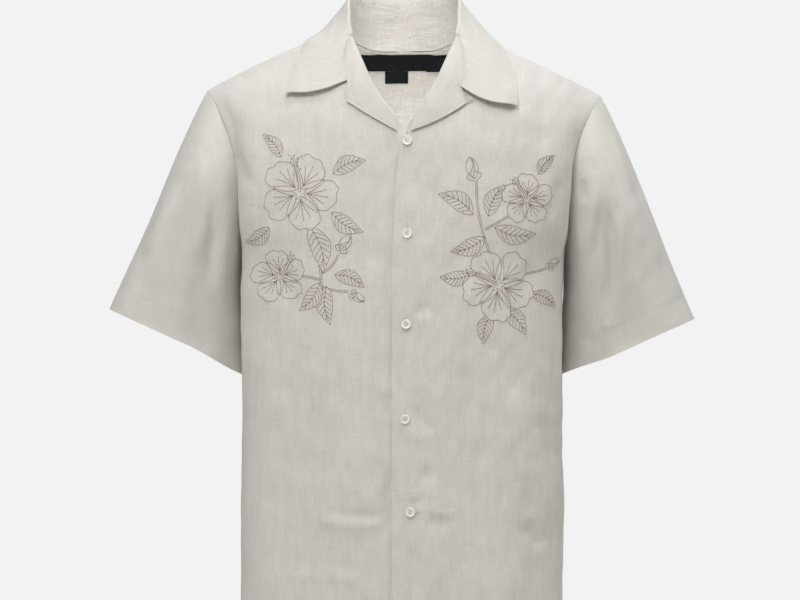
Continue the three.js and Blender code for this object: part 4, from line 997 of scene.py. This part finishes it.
# Labels: a woven black strip inside the back neck with a smaller one hanging from it, and a folded
# one sewn over its end.
LABEL_WALL, LABEL_LIFT = 0.9, 0.7
LABEL_DIP, LABEL_RIM, LABEL_POINTS = 0.25, 1.2, (60, 24)  # sewing presses the edges to the cloth
LABEL_DARK, LABEL_LIGHT = (0.004, 0.005, 0.006, 1), (0.009, 0.011, 0.013, 1)
label_black, tree, shader, grain = grained_material("black label satin")
weave = grouped(tree, weave_group, {"Grain": grain, "Pitch": 0.00034})
yarns = grouped(tree, yarn_group, {"Grain": grain, "Across": 0.0006, "Along": 0.012})
label_colour = blend_colours(tree, spread(tree, yarns, 0.3, 0.7), LABEL_DARK, LABEL_LIGHT)
cover(tree, shader, label_colour, spread(tree, weave, 0, 1, 0.8, 0.6), weave, 0.5, 0.0001)
shader.inputs["Specular IOR Level"].default_value = 0.12
# left, right, top, bottom, layers off the back
LABELS = {
    "neck_label": (-53, 53, -3.4, -22.8, 1),
    "label_tab": (-23, 5, -23.4, -37.8, 1),
    "care_label": (27, 51, -4, -23.4, 2),
}
for name, (x0, x1, top, bottom, layer) in LABELS.items():
    x, z = np.meshgrid(np.linspace(x0, x1, LABEL_POINTS[0]), np.linspace(bottom, top, LABEL_POINTS[1]))
    under, out = body_seen(x, z, back=True)
    edge = np.minimum(np.minimum(x - x0, x1 - x), np.minimum(z - bottom, top - z))
    depth = CLOTH + layer * (LABEL_LIFT + LABEL_WALL) - LABEL_DIP * (1 - ease(edge / LABEL_RIM))
    grid = under - out * depth[..., None]
    strip = cloth(name + "_cloth", [shell(grid, -out, LABEL_WALL)], label_black)
    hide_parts(name)

# Sewing thread: off-white cotton of two plies. Rows of it hold the hems, and run round the edges of
# the collar and the lapels.
# Each thread's dark colour is painted shade in the grooves between its plies, and its light one is its own
# colour on the plies.
WHITE_GROOVE_SHADE, WHITE_LIGHT = (0.50, 0.47, 0.42, 1), (0.78, 0.76, 0.72, 1)


def thread_material(name, dark, light, pitch, sheen):
    """A twisted thread, raised and lighter on its plies than in its grooves, whose darker colour is painted
    shade. Plies and grooves are a sine of the thread's length, in turns of this pitch, plus the way round it."""
    material, tree, shader, grain = grained_material(name)
    way_round, length = split(tree, grain)
    turns = maths(tree, "ADD", maths(tree, "DIVIDE", length, pitch), way_round)
    plies = spread(tree, maths(tree, "SINE", maths(tree, "MULTIPLY", turns, 2 * np.pi)), -1, 1)
    # the colour turns to the dark one in the grooves, which is painted shade there
    colour = blend_colours(tree, plies, dark, light)
    cover(tree, shader, colour, spread(tree, plies, 0, 1, 0.85, 0.62), plies, 0.5, 0.0001)
    shader.inputs["Sheen Weight"].default_value = sheen
    return material


thread_white = thread_material("off-white cotton thread", WHITE_GROOVE_SHADE, WHITE_LIGHT, 0.0009, 0.15)

# a stitch's rings: points in each, places along the stitch, and widths and rises in shares of its radius
SIDES = 6
RING_SHARE = np.array([0, 0.2, 0.8, 1])
RING_WIDE = np.array([0.45, 1, 1, 0.45])
RING_RISE = np.array([-0.35, 0.5, 0.5, -0.35])


def tube_faces(bands, sides):
    """The faces between the rings of a tube, with each corner's place round it and along it."""
    i, j = (a.ravel() for a in np.meshgrid(np.arange(bands), np.arange(sides), indexing="ij"))
    here, after = i * sides + j, i * sides + (j + 1) % sides
    faces = np.stack([here, after, after + sides, here + sides], -1)
    return faces, np.stack([j, j + 1, j + 1, j], -1), np.stack([i, i, i + 1, i + 1], -1)


def stitches(name, start, end, out, radius, material, slot="thread"):
    """Stitches as short closed tubes from start to end. Each has four rings of six points, and their
    middles rise off the cloth along the way out while the ends narrow and dip into it."""
    radius = np.broadcast_to(np.asarray(radius, float), (len(start),))[:, None]
    length = np.linalg.norm(end - start, axis=-1, keepdims=True)
    along = (end - start) / length
    across = unit(np.cross(out, along))
    upward = np.cross(along, across)
    turn = np.arange(SIDES) * 2 * np.pi / SIDES
    middle = start[:, None] + (end - start)[:, None] * RING_SHARE[:, None]
    middle = middle + upward[:, None] * (RING_RISE * radius)[..., None]
    ring = across[:, None] * np.cos(turn)[:, None] + upward[:, None] * np.sin(turn)[:, None]
    points = middle[:, :, None] + ring[:, None] * (radius * RING_WIDE)[..., None, None]
    bands = len(RING_SHARE) - 1
    tube, way_round, _ = tube_faces(bands, SIDES)
    top = SIDES * bands + np.array([[0, 1, 2, 3], [0, 3, 4, 5]])
    caps = np.concatenate([[[3, 2, 1, 0], [5, 4, 3, 0]], top])
    faces = np.concatenate([tube, caps])
    way_round = np.concatenate([way_round, caps % SIDES]) / SIDES * 1000
    way_round = np.broadcast_to(way_round, (len(start), *faces.shape))
    grain = np.stack([way_round, length[..., None] * RING_SHARE[faces // SIDES]], -1)
    every = (np.arange(len(start)) * SIDES * len(RING_SHARE))[:, None, None] + faces
    points, every, grain = points.reshape(-1, 3), every.reshape(-1, 4), grain.reshape(-1, 2)
    return put_mesh(name, points, every, grain, material)


def sewn_along(points, out, length, gap):
    """Evenly spaced stitches along a line of points: their starts, ends and ways out."""
    run = run_lengths(points[None], 1)[0]
    count = max(1, int(run[-1] // (length + gap)))
    at = np.arange(count) * run[-1] / count

    def pick(rows, places):
        return np.stack([np.interp(places, run, rows[:, c]) for c in range(rows.shape[1])], -1)

    step = run[-1] / count - gap
    return pick(points, at), pick(points, at + step), unit(pick(out, at + step / 2))


def joined(rows):
    """Several rows of stitches as one."""
    return [np.concatenate(part) for part in zip(*rows)]


def line_in(grid, out, inset):
    """The line on a grid that lies this far in from the end of each row."""
    run = run_lengths(grid, 1)
    target = run[:, -1] - inset
    after = np.clip((run < target[:, None]).sum(1), 1, grid.shape[1] - 1)
    r = np.arange(len(grid))
    f = ((target - run[r, after - 1]) / (run[r, after] - run[r, after - 1]))[:, None]
    way = between(out[r, after - 1], out[r, after], f)
    return between(grid[r, after - 1], grid[r, after], f), unit(way)


SEWING = {"length": 2.3, "gap": 0.5}
SEWING_RADIUS = 0.24
SUNK = 0.1  # how deep the sleeve's sewing is pulled in
LAPEL_INSET, COLLAR_INSET, HEM_ROW = 4.5, 5.0, 6


def sew(name, *lines):
    """One piece of white sewing along these lines, each given as its points and its ways out."""
    rows = joined([sewn_along(*line, **SEWING) for line in lines])
    stitches(name, *rows, SEWING_RADIUS, thread_white)


for name, side in (("left", 1), ("right", -1)):
    grid, out = sleeve_grids[side]
    line, way = line_in(grid.swapaxes(0, 1), out.swapaxes(0, 1), SLEEVE_HEM)
    line, way = np.concatenate([line, line[:1]]), np.concatenate([way, way[:1]])
    sew(f"sleeve_{name}_stitches", (line - way * SUNK, way))
    line, way = line_in(*lapel_grids[side], LAPEL_INSET)
    sew(f"lapel_{name}_stitches", (line[3:-2], way[3:-2]))
    grid, out = front_grids[side]
    sew(f"front_{name}_hem_stitches", (grid[HEM_ROW, 2:-2], out[HEM_ROW, 2:-2]))
sew("back_hem_stitches", *[(grid[-HEM_ROW, :-2], out[-HEM_ROW, :-2]) for grid, out in back_grids])
line, way = line_in(collar_grid, collar_out, COLLAR_INSET)
sew("collar_stitches", (line[2:-2], way[2:-2]))

# Thread loop: two plies of white cotton twisted together, sewn into the edge of the upper lapel near
# its notch. A small button under the collar would take it.
LOOP_ENDS, LOOP_REACH, LOOP_LIFT = (0.66, 0.72), 10, 2.5
PLY_RADIUS, PLY_OFFSET, PLY_TURNS, PLY_SIDES = 0.4, 0.36, 7, 8
LOOP_POINTS, LOOP_STEP = 110, 0.2  # along the loop, and the length of each step in the grain
loop_x, loop_z = lapel_edge(1, np.array(LOOP_ENDS)[:, None]).T
loop_at, loop_out = body_seen(loop_x, loop_z)
loop_at = loop_at + loop_out * (EDGE_LIFT - FACED_WALL / 2)
loop_away = unit(np.cross(loop_at[1] - loop_at[0], loop_out[0]))
low, high = loop_at + loop_away * SEAM
t = np.linspace(0, 1, LOOP_POINTS)
loop_far = loop_away * LOOP_REACH + loop_out[0] * LOOP_LIFT
loop_path = bezier(np.concatenate([low, low + loop_far, high + loop_far, high]), t)
loop_along = unit(np.gradient(loop_path, axis=0))
loop_across = unit(np.cross(loop_out[0], loop_along))
loop_up = np.cross(loop_along, loop_across)
plies = []
round_it = np.linspace(0, 2 * np.pi, PLY_SIDES + 1)[:-1, None]
for start in (0, np.pi):
    turn = (start + 2 * np.pi * PLY_TURNS * t)[:, None]
    ply = loop_path + PLY_OFFSET * (loop_across * np.cos(turn) + loop_up * np.sin(turn))
    along = unit(np.gradient(ply, axis=0))
    across = unit(np.cross(loop_out[0], along))
    ring = across[:, None] * np.cos(round_it) + np.cross(along, across)[:, None] * np.sin(round_it)
    closing = [np.broadcast_to(ply[end, None], (1, PLY_SIDES, 3)) for end in (0, -1)]
    plies.append(np.concatenate([closing[0], ply[:, None] + PLY_RADIUS * ring, closing[1]]))
faces, way_round, way_along = tube_faces(LOOP_POINTS + 1, PLY_SIDES)
grain = np.stack([way_round * 1000 / PLY_SIDES, way_along * LOOP_STEP], -1).reshape(-1, 2)
loop = put_mesh(
    "thread_loop",
    np.concatenate(plies).reshape(-1, 3),
    np.concatenate([faces, faces + (LOOP_POINTS + 2) * PLY_SIDES]),
    np.concatenate([grain, grain]),
    thread_white,
)
weld(loop, 1e-6)
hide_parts("loop")

# Embroidery: sprays of hibiscus and leaves in one line of brown running stitch, one on each side of
# the chest. They are drawn flat, from front to back, and then laid on the cloth.
# the dark brown is painted shade in the grooves between the thread's plies, and the light brown is its own
# colour
BROWN_GROOVE_SHADE, BROWN_LIGHT = (0.19, 0.123, 0.093, 1), (0.36, 0.262, 0.22, 1)
thread_brown = thread_material("brown embroidery thread", BROWN_GROOVE_SHADE, BROWN_LIGHT, 0.0011, 0.2)
BROWN_RADIUS, BROWN_STITCH, BROWN_GAP = 0.36, 2.25, 0.35
PETALS, PETAL_TURN = 5, 72
PISTIL_TURN, PISTIL_HALF, STAMENS = 30, 1.1, 9
VEINS_AT, VEIN_RUN = np.arange(0.14, 0.8, 0.115), 0.15  # where a leaf's veins leave its rib, how far they run
STEM_HALF = 0.95


def turned(points, angle, at):
    """Flat points turned by an angle in degrees and moved to a place."""
    a = np.radians(angle)
    x, z = points[:, 0], points[:, 1]
    return np.stack([x * np.cos(a) - z * np.sin(a), x * np.sin(a) + z * np.cos(a)], -1) + at


def flower(x, z, length, angle):
    """Five petals round a throat, and the long pistil on top of them. A petal is a loop whose reach is
    a power of a sine and whose width is a cosine times the root of that sine, with a ruffled tip."""
    t = np.linspace(0, 1, 44)
    s = np.linspace(0, 1, 12)
    column = np.stack([length * 0.98 * s, length * 0.16 * s * s], -1)
    sides = [column + [0, off] for off in (-PISTIL_HALF, PISTIL_HALF)]
    round_it = np.linspace(0, 2 * np.pi, 7)
    dot = PISTIL_HALF * np.stack([np.cos(round_it), np.sin(round_it)], -1)
    pistil = list(sides)
    for k in range(STAMENS):
        pistil.append(column[-1 - k // 2] + np.array([0, 1 if k % 2 else -1]) * (2.6 + k % 3) + dot)
    outline = np.concatenate([sides[0], sides[1][::-1]])
    lean = angle + PISTIL_TURN
    shapes = [([turned(line, lean, (x, z)) for line in pistil], turned(outline, lean, (x, z)))]
    for k in range(PETALS):
        rise = np.sin(np.pi * t)
        ruffle = 0.035 * length * np.sin(np.pi * (11 + k % 2) * t) * rise**2
        reach = length * (0.1 + 0.9 * rise**0.8) + ruffle
        wide = -0.66 * length * np.cos(np.pi * t) * np.sqrt(rise) + 0.1 * length * rise**2
        lines = [np.stack([reach, wide], -1)]
        for lean in (-0.36, -0.18, 0, 0.18, 0.36):
            vein = length * (0.16 + (0.62 - 0.5 * abs(lean)) * s)
            lines.append(np.stack([vein, length * lean * s**1.4 * 1.1], -1))
        lines = [turned(line, angle + PETAL_TURN * k, (x, z)) for line in lines]
        shapes.append((lines, lines[0]))
    return shapes


def leaf(x, z, length, wide, angle, bow):
    """A pointed leaf with a bent midrib: its half width is the sine of a power of the way along, with
    small teeth, and pairs of veins run from the midrib towards the tip."""
    t = np.linspace(0, 1, 26)
    rib = bow * length * np.sin(np.pi * t)
    half = wide * np.sin(np.pi * t**0.8) * (1 + 0.07 * np.sin(18 * np.pi * t))
    edges = [np.stack([length * t, rib + turn * half], -1) for turn in (1, -1)]
    lines = [*edges, np.stack([length * t, rib], -1)[:-2]]
    s = np.linspace(0, 1, 6)
    for place in VEINS_AT:
        for turn in (1, -1):
            tip = turn * 0.86 * wide * np.sin(np.pi * (place + VEIN_RUN) ** 0.8)
            along = place + VEIN_RUN * s
            rise = bow * length * np.sin(np.pi * along)
            lines.append(np.stack([length * along, rise + tip * s**0.8], -1))
    outline = np.concatenate([edges[0], edges[1][::-1]])
    return [([turned(line, angle, (x, z)) for line in lines], turned(outline, angle, (x, z)))]


def bud(x, z, length, angle):
    """A closed bud: an egg of three wrapped petals, held in two small sepals."""
    t = np.linspace(0, 1, 20)
    rise = np.sin(np.pi * t)
    lines = [np.stack([length * t, side * 0.27 * length * rise**0.8], -1) for side in (1, -1)]
    egg = np.concatenate([lines[0], lines[1][::-1]])
    lines.append(np.stack([length * t, 0.12 * length * np.sin(2 * np.pi * t)], -1))
    lines.append(np.stack([length * (0.1 + 0.8 * t), -0.2 * length * rise * t], -1))
    for side in (1, -1):
        lines.append(np.stack([length * (0.42 * t - 0.08), side * length * (0.05 + 0.3 * rise)], -1))
    return [([turned(line, angle, (x, z)) for line in lines], turned(egg, angle, (x, z)))]


def stem(x0, z0, x1, z1, x2, z2):
    """A stem as two lines side by side along a parabola."""
    a, b, c = (np.array(p, float) for p in ((x0, z0), (x1, z1), (x2, z2)))
    t = np.linspace(0, 1, 40)[:, None]
    line = between(between(a, b, t), between(b, c, t), t)
    way = unit(np.gradient(line, axis=0))
    off = np.stack([-way[:, 1], way[:, 0]], -1)
    sides = [line + off * turn for turn in (STEM_HALF, -STEM_HALF)]
    return [(sides, np.concatenate([sides[0], sides[1][::-1]]))]


def covered(outline, points):
    """Whether each flat point is inside the outline: a line from it to the right crosses an odd number
    of its edges."""
    a, b = outline, np.roll(outline, -1, 0)
    x, z = points[:, :1], points[:, 1:]
    spans = (a[:, 1] > z) != (b[:, 1] > z)
    drop = np.where(b[:, 1] == a[:, 1], 1e-9, b[:, 1] - a[:, 1])
    crossed = x < a[:, 0] + (z - a[:, 1]) * (b[:, 0] - a[:, 0]) / drop
    return ((spans & crossed).sum(1) % 2) == 1


def spray(name, motifs):
    """Stitches along all the lines of the motifs, without those that a motif nearer the front covers."""
    starts, ends, outlines = [], [], []
    for motif in motifs:
        for lines, outline in motif:
            for line in lines:
                flat = np.insert(line, 1, 0, 1)
                start, end, _ = sewn_along(flat, np.ones(flat.shape), BROWN_STITCH, BROWN_GAP)
                start, end = start[:, [0, 2]], end[:, [0, 2]]
                shown = np.ones(len(start), bool)
                for other in outlines:
                    shown &= ~covered(other, (start + end) / 2)
                starts.append(start[shown])
                ends.append(end[shown])
            outlines.append(outline)
    start, end = np.concatenate(starts), np.concatenate(ends)
    start_at, start_out = body_seen(start[:, 0], start[:, 1])
    end_at, _ = body_seen(end[:, 0], end[:, 1])
    return stitches(name, start_at, end_at, start_out, BROWN_RADIUS, thread_brown)


spray("embroidery_right", [
    flower(-124, -172, 45, 62),
    flower(-148, -272, 31, 20),
    bud(-76, -242, 24, 58),
    bud(-63, -292, 19, -30),
    leaf(-112, -212, 58, 12, -74, 0.10),
    leaf(-86, -196, 44, 10, -32, -0.10),
    leaf(-160, -214, 34, 9, -148, 0.12),
    leaf(-84, -150, 42, 10, 22, 0.12),
    leaf(-146, -130, 34, 8, 128, -0.1),
    leaf(-100, -280, 42, 10, -128, 0.1),
    leaf(-92, -284, 46, 10, -84, -0.1),
    leaf(-82, -270, 38, 9, -24, 0.12),
    stem(-98, -300, -96, -250, -118, -200),
    stem(-98, -268, -84, -262, -78, -246),
    stem(-97, -284, -84, -290, -66, -290),
    stem(-100, -276, -118, -270, -130, -272),
])
spray("embroidery_left", [
    flower(112, -282, 43, 118),
    flower(146, -180, 30, 84),
    bud(84, -156, 27, 104),
    bud(172, -262, 18, 40),
    leaf(82, -198, 48, 11, 150, -0.12),
    leaf(100, -200, 42, 10, 62, 0.1),
    leaf(96, -226, 44, 10, -158, 0.1),
    leaf(108, -214, 50, 11, -8, -0.12),
    leaf(118, -312, 40, 10, -48, 0.12),
    leaf(104, -316, 38, 9, -104, -0.1),
    leaf(78, -270, 36, 9, -176, 0.1),
    leaf(152, -292, 34, 8, -30, 0.12),
    leaf(160, -150, 28, 7, 52, 0.1),
    stem(104, -250, 84, -200, 86, -158),
    stem(96, -216, 116, -206, 132, -194),
    stem(126, -270, 150, -270, 170, -262),
])

# Buttons: five four-hole shirt buttons of pearly shell, each fastened through the upper front. They are
# the frame's own solids, and this is their finish.
PEARL_DARK, PEARL_LIGHT, PEARL_TINT = (0.76, 0.745, 0.71, 1), (0.93, 0.925, 0.90, 1), (0.80, 0.76, 0.78, 1)
shell_pearl, tree, shader = bare_material("pearly shell")
place = node(tree, "ShaderNodeTexCoord").outputs["Object"]
swirl = noise(tree, place, {"Scale": 140, "Detail": 3, "Distortion": 2.4}, "3D")
tint = noise(tree, place, {"Scale": 320, "Detail": 1, "Distortion": 1.0}, "3D")
pearl = spread(tree, swirl, 0.35, 0.65)
pearl_colour = blend_colours(tree, pearl, PEARL_DARK, PEARL_LIGHT)
pearl_colour = blend_colours(tree, spread(tree, tint, 0.5, 0.7, 0, 0.3), pearl_colour, PEARL_TINT)
tree.links.new(pearl_colour, shader.inputs["Base Color"])
tree.links.new(spread(tree, pearl, 0, 1, 0.34, 0.2), shader.inputs["Roughness"])
shader.inputs["Coat Weight"].default_value = 0.5
shader.inputs["Coat Roughness"].default_value = 0.15

# places on the front as x z
BUTTONS = ((3.6, -110.4), (3.6, -220.8), (2.4, -328.8), (1.2, -441.6), (7.2, -552))
HOLE_SPREAD, HOLE_FACE, THREAD_RISE = 1.3, 1.7, 0.06
STRANDS, STRAND_RADIUS = (-0.2, 0.2), 0.2
button_rows = []
for i, (x, z) in enumerate(BUTTONS):
    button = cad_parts[f"button_{i + 1}"]
    button.data.materials.clear()
    button.data.materials.append(shell_pearl)
    at, out = body_seen(np.array([x]), np.array([z]), whole=False)
    turn = Vector((0, 1, 0)).rotation_difference(Vector(out[0])).to_matrix()
    turn = np.array([list(row) for row in turn])
    for column in (-1, 1):
        for strand in STRANDS:
            start = [column * HOLE_SPREAD + strand, HOLE_FACE + THREAD_RISE, -HOLE_SPREAD]
            ends = np.array([start, [*start[:2], HOLE_SPREAD]]) @ turn.T + at + out * SEAM
            button_rows.append((ends[:1], ends[1:], out))
stitches("button_threads", *joined(button_rows), STRAND_RADIUS, thread_white)

# Buttonholes: ovals of close satin stitches round a cut, worked through the upper front. The lowest
# lies level and the others stand upright, and one that is not in use is beside the top button.
# middle as x z, length, turn
BUTTONHOLES = ((3.6, -215.8, 14, 90), (2.4, -323.8, 14, 90), (1.2, -436.6, 14, 90),
               (9.7, -552, 14, 0), (3.6, -106, 13, 90))
SATIN_STEP, SATIN_RADIUS, SATIN_REACH = 0.42, 0.26, 1.25
CUT_HALF, END_REACH = 0.18, 0.2  # where the stitches begin, beside the cut and round its ends


def satin(near, far, angle, at):
    """Stitches from near points to far ones, turned and laid on the cloth."""
    (start, out), (end, _) = (body_seen(*turned(points, angle, at).T) for points in (near, far))
    return start, end, out


hole_rows = []
fan = np.radians(np.linspace(-80, 80, 9))
for x, z, length, angle in BUTTONHOLES:
    along = np.linspace(-length / 2, length / 2, int(length / SATIN_STEP))
    for side in (1, -1):
        near, far = (np.stack([along, 0 * along + side * off], -1) for off in (CUT_HALF, SATIN_REACH))
        hole_rows.append(satin(near, far, angle, (x, z)))
    for end in (1, -1):
        spoke = end * np.stack([np.cos(fan), np.sin(fan)], -1)
        near, far = (spoke * reach + [end * length / 2, 0] for reach in (END_REACH, SATIN_REACH))
        hole_rows.append(satin(near, far, angle, (x, z)))
stitches("buttonhole_stitches", *joined(hole_rows), SATIN_RADIUS, thread_white)

# Studio: a plain pale floor below the hem, soft lamps above, beside and behind the shirt and a small one
# inside it, and a dim, even and warm surround, which the camera sees as near white.
FLOOR_Z, FLOOR_RADIUS, FLOOR_CORNERS = -0.8, 4.4, 96
turn = np.linspace(0, 2 * np.pi, FLOOR_CORNERS + 1)[:-1]
rim = np.stack([np.cos(turn), np.sin(turn), 0 * turn], -1) * FLOOR_RADIUS + [0, 0, FLOOR_Z]
floor_mesh = bpy.data.meshes.new("floor")
floor_mesh.from_pydata(rim, [], [list(range(FLOOR_CORNERS))])
floor = placed("floor", floor_mesh)
paint, _, shader = bare_material("pale floor")
shader.inputs["Base Color"].default_value = (0.80, 0.79, 0.77, 1)
shader.inputs["Roughness"].default_value = 0.9
floor_mesh.materials.append(paint)

# lamp: place, size in metres, power in watts and colour
LAMPS = {
    "key": ((-0.45, -1.6, 1.6), 0.9, 32, (0.985, 0.993, 1.0)),
    "top": ((0.6, -0.5, 1.9), 1.5, 31, (0.985, 0.992, 1.0)),
    "left side": ((-2.3, -1.5, 0.3), 1.6, 14, (1.0, 0.985, 0.97)),
    "right side": ((2.4, -1.1, 0.5), 1.4, 9, (1.0, 0.985, 0.97)),
    "back": ((0.5, 2.6, 1.6), 1.8, 34, (1.0, 1.0, 1.0)),
    "inside": ((0, -0.075, -0.2), 0.1, 0.3, (1.0, 0.99, 0.97)),
}
AIM, NECK = Vector((0, 0, -0.25)), Vector((0, 0.07, -0.04))  # what the lamps and the inner one point at
for name, (place, size, power, colour) in LAMPS.items():
    lamp = placed(name, bpy.data.lights.new(name, "AREA"))
    lamp.data.size = size
    lamp.data.energy = power
    lamp.data.color = colour
    lamp.location = place
    aim = NECK if name == "inside" else AIM
    lamp.rotation_euler = (aim - Vector(place)).to_track_quat("-Z", "Y").to_euler()

world = bpy.data.worlds.new("studio")
bpy.context.scene.world = world
world.use_nodes = True
tree = world.node_tree
surround = tree.nodes["Background"]
surround.inputs["Color"].default_value = (1, 0.95, 0.88, 1)
surround.inputs["Strength"].default_value = 0.12
backdrop = node(tree, "ShaderNodeBackground", {"Color": (0.887, 0.887, 0.887, 1), "Strength": 1.0})
seen = node(tree, "ShaderNodeLightPath").outputs["Is Camera Ray"]
either = node(tree, "ShaderNodeMixShader", {0: seen, 1: surround.outputs[0], 2: backdrop.outputs[0]})
tree.links.new(either.outputs[0], tree.nodes["World Output"].inputs["Surface"])
bpy.context.scene.view_settings.view_transform = "Standard"
